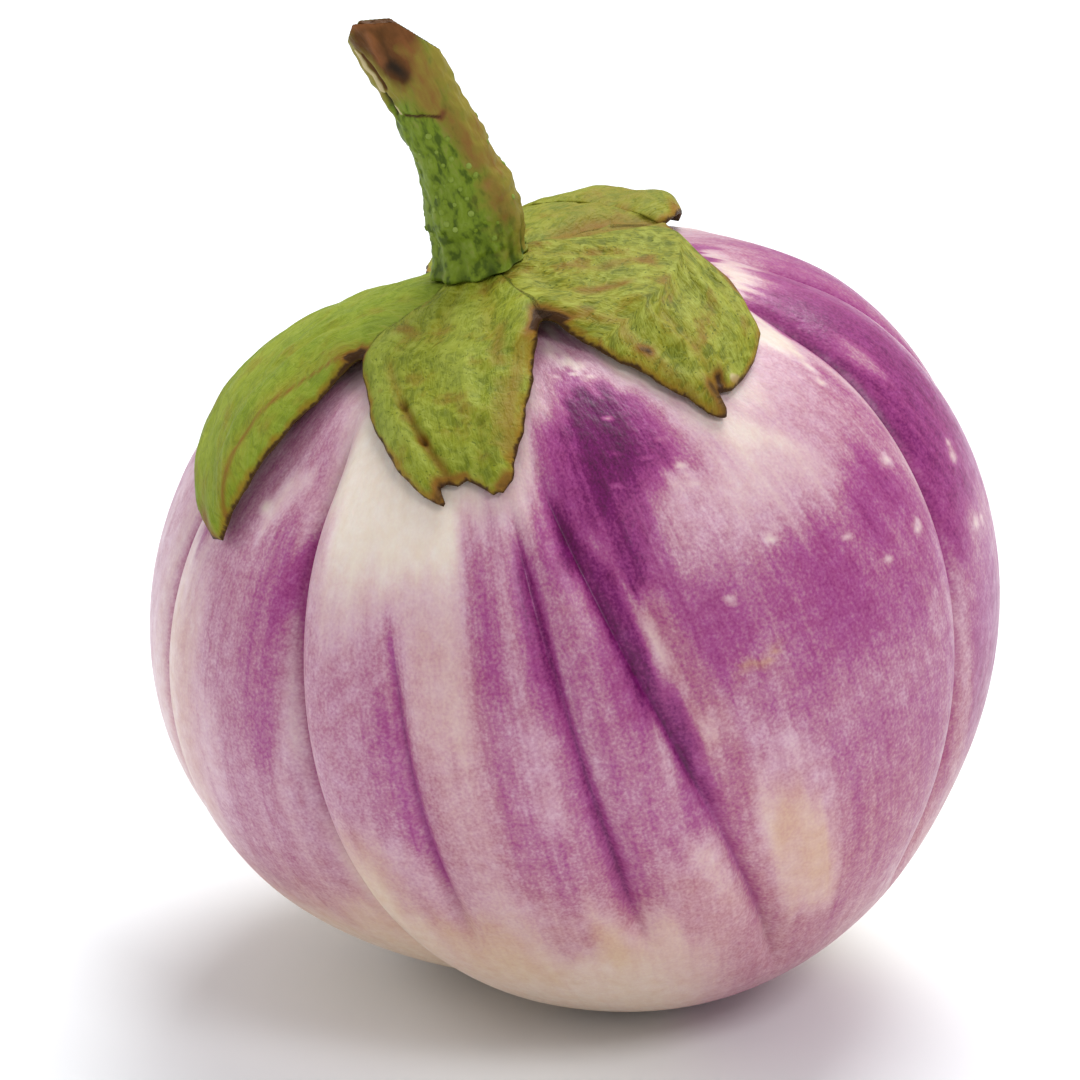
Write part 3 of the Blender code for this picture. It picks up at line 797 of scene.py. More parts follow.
@dataclass(frozen=True)
class Fruit:
    """The grown body with its ribs, furrows and coloured skin."""

    body: Body
    finish: SkinFinish
    columns: int = 408
    rings: int = 240
    inset: float = 0.12 * MM
    # The colouring below all strokes, and how bare the flecks are.
    pigment: float = 0.24
    warmth: float = 0.16
    fleck_strength: float = 0.85
    # How far the strokes' ends wave and their sides sway, in degrees, and how noise frays the ends, each as a
    # strength in degrees, a size in mm and a seed.
    end_wave: float = 0.9
    side_wave: float = 0.4
    end_fray: tuple[tuple[float, float, float], ...] = ((3.2, 1.7, 4.0), (1.8, 4.5, 7.0))
    # The run in degrees over which a seam starts and ends, and how sharp its sides are.
    seam_start_fade: float = 10.0
    seam_end_fade: float = 12.0
    seam_edge: float = 1.5

    def colouring(self, polar: np.ndarray, azimuth: np.ndarray) -> np.ndarray:
        """Paints the skin's pigment, with painted shade in the creases, its warmth and bare flecks.

        Args:
            polar: Angles from the crown, in radians.
            azimuth: Angles round the axis, in radians.

        Returns:
            Three values for each place.
        """
        across = np.degrees(azimuth)
        down = np.degrees(polar)
        wave = np.sin(0.33 * across + 1.1 + 1.3 * np.sin(0.11 * down))
        wave = wave + 0.5 * np.sin(0.8 * across + 0.21 * down)
        radius = self.body.equator_radius / MM
        grain = np.stack([radius * np.cos(azimuth), radius * np.sin(azimuth), 4.0 * polar], axis=-1)
        warped_down = down + self.end_wave * wave
        for strength, size, seed in self.end_fray:
            warped_down = warped_down + strength * ripple(grain, size, seed)
        sway = self.side_wave * np.sin(0.12 * down + 2.0 * np.sin(0.13 * across))
        warped_across = across + sway / np.maximum(np.sin(polar), 0.2)
        layers = {
            Layer.PIGMENT: np.full(len(polar), self.pigment),
            Layer.WARMTH: np.full(len(polar), self.warmth),
        }
        for layer, rows in STROKES.items():
            for row in rows:
                blush = Blush(*row)
                mask = blush.mask(warped_across, warped_down)
                layers[layer] = layers[layer] * (1.0 - mask) + blush.value * mask
        pigment = layers[Layer.PIGMENT]
        # The creases darken: their pigment, with painted shade in the furrows.
        for seam in CREASE_PIGMENT_AND_SHADE:
            crease = self.body.creases[seam.crease]
            offset = self.body.across(crease, polar, azimuth)
            width = np.where(offset < 0.0, seam.left, seam.right)
            run = smooth((down - seam.start) / self.seam_start_fade + 0.5)
            run = run * smooth((seam.end - down) / self.seam_end_fade + 0.5)
            mask = run * np.exp(-((np.abs(offset) / width) ** self.seam_edge)) * seam.hold
            pigment = pigment + np.maximum(seam.value - pigment, 0.0) * mask
        outward = self.body.direction(polar, azimuth)
        chalk = np.zeros(len(polar))
        for fleck_azimuth, fleck_polar, radius in FLECKS + SCRATCH:
            centre = self.body.direction(np.radians(fleck_polar), np.radians(fleck_azimuth))
            away = np.linalg.norm(outward - centre, axis=1) * self.body.equator_radius / MM
            chalk = np.maximum(chalk, self.fleck_strength * np.exp(-((away / radius) ** 2)))
        return np.stack([pigment, layers[Layer.WARMTH], chalk], axis=-1)

    def build(self) -> bpy.types.Object:
        """Makes the dressed fruit."""
        places = self.body.lobe_columns(self.columns)
        columns = len(places)
        ring = np.repeat(np.arange(1, self.rings), columns)
        polar = np.concatenate([[0.0], ring * math.pi / self.rings, [math.pi]])
        places = np.concatenate([[0.0], np.tile(places, self.rings - 1), [0.0]])
        azimuth = self.body.lobe_azimuth(places, polar)
        depth = self.body.crease_depth(polar, azimuth) + self.inset
        points = self.body.settled(self.body.surface(polar, azimuth, -depth))
        radius = self.body.equator_radius / MM
        skin = np.stack([radius * np.cos(azimuth), radius * np.sin(azimuth), radius * polar], axis=-1)
        values = {"skin": skin, "tone": self.colouring(polar, azimuth)}
        piece = plain_object("fruit_skin", points, self.faces(columns), values)
        piece.data.materials.append(self.finish.material())
        return piece

    def faces(self, columns: int) -> list[tuple[int, ...]]:
        """The faces of a closed ball of rings, with a fan at each pole."""
        last = (self.rings - 1) * columns + 1
        here = np.arange(columns)
        there = (here + 1) % columns
        faces = [(0, int(1 + a), int(1 + b)) for a, b in zip(here, there)]
        for ring in range(self.rings - 2):
            low = 1 + ring * columns
            quads = np.stack([low + here, low + columns + here, low + columns + there, low + there], axis=-1)
            faces.extend(map(tuple, quads.tolist()))
        low = last - columns
        faces.extend((last, int(low + b), int(low + a)) for a, b in zip(here, there))
        return faces


class Sepal(NamedTuple):
    """A lobe of the calyx between two notches, which are (azimuth, reach in mm, lift in mm).

    Eases bend its two edges, lifts raise them off the fruit in mm, and teeth are pairs of a place across
    and a shortfall in mm at its tip. Yellow and mottled are shares.
    """

    left_notch: tuple[float, float, float]
    right_notch: tuple[float, float, float]
    tip_left: float
    tip_right: float
    reach: float
    left_ease: float
    right_ease: float
    left_lift: float
    right_lift: float
    arch: float
    teeth: tuple[tuple[float, float], ...]
    yellow: float
    mottled: float


NOTCH_LEFT_FRONT = (-52.5, 21.8, 1.5)
NOTCH_FRONT_RIGHT = (20.5, 18.4, 2.2)
NOTCH_RIGHT_BACK = (114.0, 25.0, 0.8)
NOTCH_BACK = (172.0, 17.5, 1.2)
NOTCH_BACK_LEFT = (210.0, 18.0, 0.3)
SEPALS = (
    Sepal(
        (NOTCH_BACK_LEFT[0] - TURN, *NOTCH_BACK_LEFT[1:]), NOTCH_LEFT_FRONT, -64.5, -59.5, 52.0, 1.35, 0.35,
        0.0, 0.9, 0.0, ((-1.0, 1.5), (0.0, 0.0), (1.0, 0.5)), 0.0, 0.4,
    ),
    Sepal(
        NOTCH_LEFT_FRONT, NOTCH_FRONT_RIGHT, -15.5, -2.0, 43.2, 0.85, 0.6, 0.3, 0.6, 0.0,
        (
            (-1.0, 1.6), (-0.86, 0.6), (-0.72, 0.0), (-0.6, 0.5), (-0.48, 2.6), (-0.3, 3.1),
            (-0.1, 2.6), (0.1, 3.3), (0.35, 2.0), (0.62, 0.6), (0.74, 0.9), (0.86, 0.7),
            (1.0, 2.2),
        ),
        0.30, 0.8,
    ),
    Sepal(
        NOTCH_FRONT_RIGHT, NOTCH_RIGHT_BACK, 40.0, 54.0, 43.6, 0.55, 0.55, 0.4, 0.3, 0.0,
        (
            (-1.0, 1.8), (-0.9, 0.3), (-0.8, 0.0), (-0.68, 0.5), (-0.5, 3.4), (-0.2, 2.6),
            (0.2, 2.9), (0.6, 3.6), (1.0, 5.4),
        ),
        0.6, 1.0,
    ),
    Sepal(
        NOTCH_RIGHT_BACK, NOTCH_BACK, 136.0, 147.0, 36.0, 1.3, 0.8, 1.6, 0.4, 1.4,
        ((-1.0, 2.0), (0.0, 0.0), (1.0, 1.6)), 0.5, 0.7,
    ),
    Sepal(
        NOTCH_BACK, NOTCH_BACK_LEFT, 188.0, 195.0, 41.0, 0.9, 0.8, 0.4, 0.3, 0.0,
        ((-1.0, 1.4), (-0.3, 0.5), (0.0, 0.0), (1.0, 1.4)), 0.3, 0.6,
    ),
)


class LeafMark(NamedTuple):
    """A fold or a patch of colour on one sepal, drawn from one place to another.

    Across is -1 to 1 from the left edge to the right one. Along is -1 at the crown, 0 at the notches and
    1 at the tip. Width and depth are in mm, and a depth below 0 is a ridge.
    """

    sepal: int
    start_across: float
    start_along: float
    end_across: float
    end_along: float
    width: float
    depth: float
    yellow: float = 0.0
    brown: float = 0.0
    pale: float = 0.0


# Each row holds the numbers of one LeafMark.
LEAF_MARKS: tuple[tuple[float, ...], ...] = (
    # Left sepal.
    (0, 0.9, 0.02, 0.92, 0.9, 1.1, 0, 0.5),
    (0, 0.99, 0, 0.98, 0.9, 0.4, 0, 0.2, 0.6),
    (0, -0.95, -0.4, -0.95, 0.4, 3.2, 1.3),
    (4, 0.95, -0.4, 0.8, 0.6, 4.5, 1.5),
    # Dark brown in the notch: painted shadow of the gap under the joined sepals, over a shallow fold.
    (0, 0.99, -0.03, 0.99, 0.03, 0.7, 1.2, 0, 1.5),
    # Dark brown in the notch: painted shadow of the gap under the joined sepals, over a shallow fold.
    (1, -0.99, -0.03, -0.99, 0.02, 0.6, 1, 0, 1.5),
    (0, 0, 0.97, 0.1, 1, 2.2, 0, 0, 0.85),
    (0, -0.3, 0, -0.2, 0.8, 3.4, -0.25, 0, 0, 0.5),
    (0, 0.35, 0.05, 0.4, 0.8, 1.6, 0.3, 0.15),
    # Front sepal: an ochre crease, a valley, pale wrinkles, an amber margin and a brown tip.
    (1, -0.6, 0.08, -0.47, 0.42, 0.8, 0.6, 0.7, 0.2),
    (1, -0.47, 0.42, -0.35, 0.7, 0.7, 0.9, 0.5, 0.4),
    (1, -0.35, 0.7, -0.22, 0.92, 0.8, 0.7, 0.3, 0.5),
    (1, 0.5, 0.25, 0.46, 0.6, 1, 0.5, 0, 0.05),
    (1, 0.46, 0.6, 0.42, 0.96, 0.8, 0.7, 0, 0.15),
    (1, -0.8, -0.1, -0.82, 0.55, 1.5, -0.3, -0.2, 0, 0.45),
    (1, -0.62, 0.5, -0.52, 0.85, 0.8, -0.35, 0, 0, 0.35),
    (1, 0, -0.3, 0.18, 0.3, 1.6, -0.35, 0, 0, 0.4),
    (1, 0.3, 0.1, 0.34, 0.5, 0.9, -0.4, 0, 0, 0.45),
    (1, 0.94, 0.08, 0.95, 0.85, 0.9, 0, 1, 0.3),
    (1, 0.7, 0.35, 0.72, 0.75, 1.2, 0.2, 0, 0.3),
    (1, 0.62, -0.05, 0.66, 0.2, 1.2, 0.15, 0.1, 0.4),
    # Dark brown in the notch: painted shadow of the gap under the joined sepals, over a shallow fold.
    (1, 0.99, -0.06, 0.99, 0.04, 0.7, 1.5, 0, 1.6),
    (1, -0.72, 0.97, -0.42, 1, 1, 0, 0.3, 1),
    (1, -0.2, 0.98, 0.1, 0.98, 0.6, 0, 0.2, 0.7),
    (1, 0.8, 0.98, 0.95, 0.96, 0.7, 0, 0.1, 0.8),
    # Right sepal: rusty patches, a yellow ridge to the spike, a cream lobe and a brown right edge.
    (2, -0.52, -0.12, -0.32, -0.02, 1.3, 0.1, 0.2, 0.65),
    (2, -0.1, -0.25, 0.1, -0.15, 1.1, 0.1, 0.3, 0.4),
    (2, -0.8, 0.44, -0.79, 0.48, 0.7, 0.1, 0, 0.8),
    (2, -0.5, 0.15, -0.48, 0.62, 0.7, -0.5, 0.6),
    (2, -0.66, 0.2, -0.66, 0.75, 1.1, 0.5, 0, 0.1),
    (2, -0.36, 0.35, -0.42, 0.9, 1.2, 0.6, 0.1, 0.25),
    (2, 0.3, 0.2, 0.3, 0.75, 1.1, -0.4, 0, 0, 0.4),
    (2, 0.55, 0.3, 0.5, 0.9, 1, 0.4, 0, 0.1),
    (2, -0.95, 0.05, -0.95, 0.85, 0.8, 0, 0.9, 0.3),
    # Dark brown in the notch: painted shadow of the gap under the joined sepals, over a shallow fold.
    (2, -0.99, -0.06, -0.99, 0.05, 0.8, 1.5, 0, 1.6),
    (2, 0.93, 0.08, 0.92, 0.55, 1.5, 0.15, 0.2, 0.8),
    (2, -0.62, 0.88, -0.72, 1, 1.2, 0, 0, 1),
    (2, -0.32, 0.9, -0.42, 1, 0.7, 0.5, 0, 1),
    (2, -0.14, 0.95, 0.02, 0.99, 0.9, -0.3, 0.3, 0, 1),
    (2, 1, -0.6, 1, -0.05, 1.7, 0.9, 0, 0.45),
    # Back sepals and the folds between sepals on the cap.
    (3, -1, -0.6, -1, -0.05, 1.7, 0.9, 0, 0.45),
    (3, -0.5, 0.9, 0.3, 1, 2, 0, 0, 0.9),
    (3, -0.2, -0.2, -0.2, 0.8, 6, 0, 0, 0.24),
    (4, -0.2, 0.95, 0.1, 1, 2, 0, 0, 0.9),
    (0, 1, -0.6, 1, -0.1, 1.3, 0.5, 0, 0.1),
    (1, -1, -0.6, -1, -0.1, 1.3, 0.5, 0, 0.1),
    (1, 0.4, -0.6, 0.45, -0.1, 1.2, 0.5, 0.4, 0.1),
    (1, -0.3, -0.62, -0.25, -0.2, 1, 0.4, 0.3, 0),
    (2, -0.4, -0.6, -0.7, -0.25, 1.1, 0.5, 0.2, 0.1),
    (2, 0.2, -0.6, 0.25, -0.3, 1.1, 0.4, 0.2, 0.2),
)


@dataclass(frozen=True)
class LeafFinish:
    """Eggplant calyx: a thick leathery leaf, grown matt, with pale fibres and a dried brown margin.

    It scatters light softly, without a clear highlight, and its fibres run from the crown to the tips.
    """

    green: str = "#7f9523"
    yellow: str = "#90851e"
    olive: str = "#6a6e1a"
    pale: str = "#aeb752"
    dark: str = "#4a580e"
    rust: str = "#835a1d"
    # Dark brown of the dried margins and tips, also painted shade in the gaps at the notches.
    margin: str = "#3c230e"
    amber: str = "#96671a"
    cream: str = "#cbb98c"
    # The underside and rims: partly the leaf's own yellow-brown, partly painted shade under the sepals.
    under: str = "#5e4a1c"
    fibre_mm: float = 0.6
    mottle_mm: float = 1.5
    cloud_mm: float = 5.0
    speck_mm: float = 0.38
    fibre_stretch: tuple[float, float, float] = (1.0, 0.22, 1.0)
    specular: float = 0.2
    roughness: float = 0.55
    ior: float = 1.42

    def material(self) -> bpy.types.Material:
        """Builds the leaf's material from the attributes leaf (mm), edge (rim, side, mottled) and cast."""
        material, tree = new_material("leathery calyx leaf")
        add = partial(place_node, tree)
        fray = partial(frayed, tree)
        leaf, edge, cast = (
            add(ATTRIBUTE, output="Vector", attribute_name=label) for label in ("leaf", "edge", "cast")
        )
        rim, side, mottled = add(SPLIT, {0: edge}).node.outputs
        yellow, brown, pale = add(SPLIT, {0: cast}).node.outputs
        drawn = add(VECTOR_MATH, {0: leaf, 1: self.fibre_stretch}, operation="MULTIPLY")
        cloud, mottle, fibres, specks = (
            add(NOISE, {"Vector": place, "Scale": 1.0 / size, "Detail": detail, "Distortion": bend})
            for place, size, detail, bend in (
                (leaf, self.cloud_mm, 4.0, 0.0),
                (leaf, self.mottle_mm, 5.0, 0.8),
                (drawn, self.fibre_mm, 3.0, 1.2),
                (leaf, self.speck_mm, 2.0, 0.0),
            )
        )
        hue = fray(cloud, 1.6, yellow, 0.6, 1.8)
        base = add(RAMP, {0: hue}, stops=((0.0, self.green), (1.0, self.yellow)))
        olive, light, blotches, rusty, spots = (
            add(MATH, {0: add(SPAN, {0: pattern, 1: low, 2: high, 4: top}), 1: mottled}, operation="MULTIPLY")
            for pattern, low, high, top in (
                (cloud, 0.52, 0.34, 0.65),
                (mottle, 0.50, 0.68, 0.55),
                (mottle, 0.50, 0.34, 0.62),
                (cloud, 0.56, 0.7, 0.75),
                (specks, 0.62, 0.72, 0.85),
            )
        )
        ridge = add(MATH, {0: fibres, 1: 0.5}, operation="SUBTRACT")
        ridge = add(MATH, {0: ridge}, operation="ABSOLUTE")
        crest = add(SPAN, {0: ridge, 1: 0.0, 2: 0.07, 3: 0.36, 4: 0.0})
        pale_share = add(MATH, {0: pale, 1: 0.55}, operation="MULTIPLY")
        wrinkles = add(MATH, {0: crest, 1: mottled, 2: pale_share}, operation="MULTIPLY_ADD")
        coats = (
            (olive, self.olive),
            (light, self.pale),
            (blotches, self.dark),
            (wrinkles, self.pale),
            (rusty, self.rust),
            (spots, self.dark),
            (add(SPAN, {0: pale, 1: 0.7, 2: 0.95, 4: 0.9}), self.cream),
            (fray(cloud, -2.2, rim, -0.2, -0.9, 0.65), self.amber),
            (fray(mottle, 0.6, brown, 0.4, 0.95, 0.9), self.rust),
            # Strong brown marks: dried tips, and painted shade in the gaps at the notches.
            (fray(mottle, 0.6, brown, 1.0, 1.4, 0.95), self.margin),
            (fray(mottle, -1.0, rim, -0.18, -0.45, 0.95), self.margin),
            # Underside and rims in dark yellow-brown: partly own colour, partly painted shade.
            (add(MATH, {0: 1.0, 1: side}, operation="SUBTRACT", use_clamp=True), self.under),
        )
        bumps = ((0.6, 0.3 * MM, fibres), (0.6, 0.5 * MM, mottle))
        values = {"Roughness": self.roughness, "Specular IOR Level": self.specular, "IOR": self.ior}
        finish_surface(tree, paint_over(tree, base, coats), bumps, values)
        return material


@dataclass(frozen=True)
class Calyx:
    """Five leathery sepals joined in a cap on the crown."""

    body: Body
    finish: LeafFinish
    sepals: tuple[Sepal, ...] = SEPALS
    gap: float = 0.5 * MM
    thickness: float = 2.8 * MM
    inset: float = 0.05 * MM
    rim_share: float = 0.40
    ridges: float = 2.0
    ridge_share: float = 0.20
    columns: int = 56
    cap_rows: int = 14
    blade_rows: int = 66
    marks: tuple[LeafMark, ...] = tuple(LeafMark(*row) for row in LEAF_MARKS)
    notch_run: float = 4.5
    notch_thinning: float = 0.35
    # Each sepal takes its noise from another place, this far on.
    pattern_step: float = 40.0
    fold_rim: float = 1.2
    thinnest: float = 0.15 * MM
    edge_wobble: float = 0.16
    rounding: float = 2.0

    @staticmethod
    def edge_azimuth(
        notch: tuple[float, float, float], tip_azimuth: float, ease: float, reach: np.ndarray, tip_reach: float
    ) -> np.ndarray:
        """The azimuth of a sepal's edge at a reach, in degrees."""
        share = np.clip((reach - notch[1]) / (tip_reach - notch[1]), 0.0, 1.0)
        return notch[0] + (tip_azimuth - notch[0]) * share**ease

    def layout(
        self, number: int, across: np.ndarray, along_cap: np.ndarray, along_blade: np.ndarray
    ) -> tuple[np.ndarray, np.ndarray, np.ndarray]:
        """Lays out the grid of one sepal.

        Args:
            number: Which sepal.
            across: Places from its left edge, -1, to its right edge, 1.
            along_cap: Share of the way from the crown to the notches.
            along_blade: Share of the way from the notches to the tip.

        Returns:
            Reach in mm, azimuth in degrees and the half width in mm of the grid's points.
        """
        sepal = self.sepals[number]
        half = (across + 1.0) / 2.0
        notch_reach = sepal.left_notch[1] * (1.0 - half) + sepal.right_notch[1] * half
        places, drops = zip(*sepal.teeth)
        end_reach = sepal.reach - np.interp(across, places, drops)
        reach = notch_reach * along_cap + (end_reach - notch_reach) * along_blade
        left = self.edge_azimuth(sepal.left_notch, sepal.tip_left, sepal.left_ease, reach, sepal.reach)
        right = self.edge_azimuth(sepal.right_notch, sepal.tip_right, sepal.right_ease, reach, sepal.reach)
        azimuth = left * (1.0 - half) + right * half
        ring = self.body.lay_radius / MM * np.sin(reach * MM / self.body.lay_radius)
        wobble = 0.4 * np.sin(2.3 * reach + 1.3 * number + 2.0 * np.sign(across))
        wobble = wobble + np.sin(0.9 * reach + 2.1 * number)
        shift = self.edge_wobble * wobble * np.abs(across) ** 5 * smooth(along_blade * 6.0)
        azimuth = azimuth + np.degrees(shift / np.maximum(ring, 1.0))
        return reach, azimuth, np.radians((right - left) / 2.0) * ring

    def shape(self, sepal: Sepal, across: np.ndarray, along_blade: np.ndarray) -> tuple[np.ndarray, np.ndarray]:
        """Lift off the fruit, in metres, and share of the full thickness of a sepal's grid points."""
        half = (across + 1.0) / 2.0
        edge_lift = sepal.left_lift * (1.0 - half) ** 3 + sepal.right_lift * half**3
        edge_lift = edge_lift + sepal.arch * (1.0 - across**2)
        lift = edge_lift * np.sin(math.pi * np.clip(along_blade, 0.0, 1.0)) ** 0.8 * MM
        ridges = 0.5 - 0.5 * np.cos(2.0 * math.pi * (self.ridges * half + 0.5))
        body = 1.0 - self.ridge_share * ridges * smooth(along_blade * 3.0)
        side = 1.0 - (1.0 - self.rim_share) * np.abs(across) ** 3 * smooth(along_blade * 4.0)
        tip = 1.0 - (1.0 - self.rim_share) * along_blade**4
        return lift, body * np.minimum(side, tip)

    def marked(self, number: int, leaf: np.ndarray) -> tuple[np.ndarray, np.ndarray]:
        """Draws the marks of one sepal.

        Args:
            number: Which sepal.
            leaf: Places on it in mm: across from its middle, and reach.

        Returns:
            The depth of its folds in mm, and yellow, brown and pale shares, for each place.
        """
        depth = np.zeros(len(leaf))
        cast = np.zeros((len(leaf), 3)) + np.array([self.sepals[number].yellow, 0.0, 0.0])
        for mark in self.marks:
            if mark.sepal != number:
                continue
            across = np.array([mark.start_across, mark.end_across])
            along = np.array([mark.start_along, mark.end_along])
            cap, blade = np.clip(along + 1.0, 0.0, 1.0), np.clip(along, 0.0, 1.0)
            reach, _, half_width = self.layout(number, across, cap, blade)
            start, end = np.stack([across * half_width, reach], axis=-1)
            near = near_line(leaf, start, end, mark.width)
            depth += mark.depth * near
            cast += near[:, None] * np.array([mark.yellow, mark.brown, mark.pale])
        return depth, cast

    def lower_sheet(self) -> bpy.types.Mesh:
        """The underside of all sepals as one open mesh, with each point's leaf place and thickness."""
        mesh = bmesh.new()
        leaf_layer = mesh.verts.layers.float_vector.new("leaf")
        form_layer = mesh.verts.layers.float_vector.new("form")
        cast_layer = mesh.verts.layers.float_vector.new("cast")
        rows = self.cap_rows + self.blade_rows
        for number, sepal in enumerate(self.sepals):
            row, column = np.meshgrid(np.arange(rows + 1), np.arange(self.columns + 1), indexing="ij")
            across = column.ravel() / self.columns * 2.0 - 1.0
            along_cap = np.clip(row.ravel() / self.cap_rows, 0.0, 1.0)
            along_blade = np.clip((row.ravel() - self.cap_rows) / self.blade_rows, 0.0, 1.0)
            reach, azimuth, half_width = self.layout(number, across, along_cap, along_blade)
            lift, share = self.shape(sepal, across, along_blade)
            for notch in (sepal.left_notch, sepal.right_notch):
                ring = np.sin(reach * MM / self.body.lay_radius) * self.body.lay_radius / MM
                away = np.hypot(np.radians(azimuth - notch[0]) * ring, reach - notch[1])
                near = np.exp(-((away / self.notch_run) ** 2)) * smooth(reach / 10.0)
                lift = lift + notch[2] * MM * near
                share = share * (1.0 - self.notch_thinning * near)
            leaf = np.stack([across * half_width, reach], axis=-1)
            depth, cast = self.marked(number, leaf)
            polar = reach * MM / self.body.lay_radius
            points = self.body.surface(polar, np.radians(azimuth), self.gap + self.inset + lift)
            verts = [mesh.verts.new(point) for point in points]
            for vert, (x, y), part, fold, colours in zip(verts, leaf, share, depth, cast):
                vert[leaf_layer] = (x, y, self.pattern_step * number)
                vert[form_layer] = (part, fold, sepal.mottled)
                vert[cast_layer] = colours
            for r in range(rows):
                for c in range(self.columns):
                    first = r * (self.columns + 1) + c
                    second = first + self.columns + 1
                    mesh.faces.new((verts[first], verts[second], verts[second + 1], verts[first + 1]))
        bmesh.ops.remove_doubles(mesh, verts=mesh.verts, dist=WELD)
        bmesh.ops.dissolve_degenerate(mesh, edges=mesh.edges, dist=WELD / 2.0)
        bmesh.ops.recalc_face_normals(mesh, faces=mesh.faces)
        centre = Vector(self.body.centre)
        if sum(face.normal.dot(face.calc_center_median() - centre) for face in mesh.faces) < 0.0:
            bmesh.ops.reverse_faces(mesh, faces=mesh.faces)
        sheet = bpy.data.meshes.new("calyx_sheet")
        mesh.to_mesh(sheet)
        mesh.free()
        return sheet

    def build(self) -> bpy.types.Object:
        """Makes the dressed calyx: a lower and an upper sheet with rounded rims between them."""
        sheet = self.lower_sheet()
        lower = read_values(sheet, "position")
        count = len(lower)
        normals = np.zeros(count * 3)
        sheet.vertex_normals.foreach_get("vector", normals)
        normals = normals.reshape(-1, 3)
        leaf, form, cast = (read_values(sheet, label) for label in ("leaf", "form", "cast"))
        faces = [tuple(polygon.vertices) for polygon in sheet.polygons]
        uses: dict[tuple[int, int], tuple[int, int] | None] = {}
        for face in faces:
            for a, b in zip(face, face[1:] + face[:1]):
                uses[(min(a, b), max(a, b))] = None if (min(a, b), max(a, b)) in uses else (a, b)
        border = [pair for pair in uses.values() if pair is not None]
        tree = kdtree.KDTree(len(border))
        for a, _ in border:
            tree.insert(lower[a], a)
        tree.balance()
        rim = np.array([tree.find(point)[2] for point in lower]) / MM
        rounding = 0.22 + 0.78 * np.sqrt(1.0 - (1.0 - np.clip(rim / self.rounding, 0.0, 1.0)) ** 2)
        drawn = leaf * np.array([1.0, 0.35, 1.0])
        bumps = 0.13 * ripple(leaf, 5.0, 3.0) + 0.09 * ripple(drawn, 1.7, 8.0)
        bumps = bumps + 0.05 * ripple(drawn, 0.8, 5.0)
        height = self.thickness * (form[:, 0] * (1.0 + bumps) - 0.05) * rounding
        height = np.maximum(height - form[:, 1] * MM * smooth(rim / self.fold_rim), self.thinnest)
        upper = lower + normals * height[:, None]
        sides = [(a, b, b + count, a + count) for a, b in border]
        all_faces = [tuple(reversed(face)) for face in faces]
        all_faces += [tuple(number + count for number in face) for face in faces] + sides
        edge = np.stack([rim, np.zeros(count), form[:, 2]], axis=-1)
        values = {
            "leaf": np.vstack([leaf, leaf]),
            "edge": np.vstack([edge, edge + np.array([0.0, 1.0, 0.0])]),
            "cast": np.vstack([cast, cast]),
        }
        piece = plain_object("calyx_leaf", np.vstack([lower, upper]), all_faces, values)
        piece.data.materials.append(self.finish.material())
        bpy.data.meshes.remove(sheet)
        return piece


class BarkMark(NamedTuple):
    """A line or patch on the stalk from one place to another, each (turn in degrees, share of the length).

    The turn is 0 at the right and 90 at the front. Width and rise are in mm, a rise below 0 is a cut.
    """

    start: tuple[float, float]
    end: tuple[float, float]
    width: float
    rise: float = 0.0
    dry: float = 0.0
    wood: float = 0.0
    dark_stain_and_crack_shade: float = 0.0
    rust: float = 0.0
    pale: float = 0.0


BARK_MARKS = (
    # The right side and the upper third are dry, with a rusty run between dry and green.
    BarkMark((10.0, 0.10), (15.0, 0.80), 4.2, dry=0.95),
    BarkMark((300.0, 0.25), (300.0, 0.80), 4.2, dry=0.6),
    BarkMark((90.0, 0.88), (270.0, 0.88), 5.0, dry=1.0),
    BarkMark((270.0, 0.88), (90.0, 0.88), 5.0, dry=1.0),
    BarkMark((62.0, 0.66), (56.0, 0.45), 1.5, rust=0.42),
    BarkMark((50.0, 0.36), (48.0, 0.22), 1.5, rust=0.42),
    BarkMark((15.0, 0.55), (22.0, 0.38), 1.6, rust=0.32),
    BarkMark((72.0, 0.65), (66.0, 0.66), 0.7, rust=0.7, dark_stain_and_crack_shade=0.35),
    BarkMark((74.0, 0.72), (62.0, 0.94), 2.4, dry=1.0, rust=0.38),
    # The torn end: dark wood in front with painted shade in its hollow, a rusty rim, and a strip of bark peeled
    # off on the left.
    BarkMark((60.0, 0.97), (120.0, 0.97), 3.0, -0.2, wood=0.9),
    BarkMark((112.0, 0.98), (118.0, 0.90), 0.8, 0.1, rust=0.9),
    BarkMark((70.0, 0.93), (64.0, 0.88), 0.9, 0.1, rust=0.6),
    BarkMark((98.0, 0.85), (112.0, 0.92), 2.2, -0.3, wood=0.95, dark_stain_and_crack_shade=0.35),
    BarkMark((96.0, 0.83), (104.0, 0.87), 1.2, -0.1, dark_stain_and_crack_shade=0.7),
    BarkMark((40.0, 1.0), (140.0, 1.04), 0.9, rust=0.8),
    BarkMark((180.0, 0.98), (172.0, 0.74), 1.6, 0.45, dry=0.8),
    BarkMark((160.0, 0.95), (148.0, 0.80), 0.26, 0.3, pale=1.0),
    # The peeled strip's cut edge and a crack across the front: shallow cuts whose dark lines are partly torn wood,
    # partly painted shade.
    BarkMark((152.0, 0.93), (141.0, 0.81), 0.4, -0.4, wood=0.8, dark_stain_and_crack_shade=0.3),
    BarkMark((148.0, 0.79), (150.0, 0.71), 0.35, -0.5, dark_stain_and_crack_shade=0.8),
    BarkMark((142.0, 0.74), (136.0, 0.71), 0.3, 0.1, pale=0.8),
    BarkMark((132.0, 0.70), (100.0, 0.68), 0.25, -0.3, wood=0.7, dark_stain_and_crack_shade=0.6),
    BarkMark((100.0, 0.68), (74.0, 0.65), 0.25, -0.25, wood=0.7, dark_stain_and_crack_shade=0.55),
)


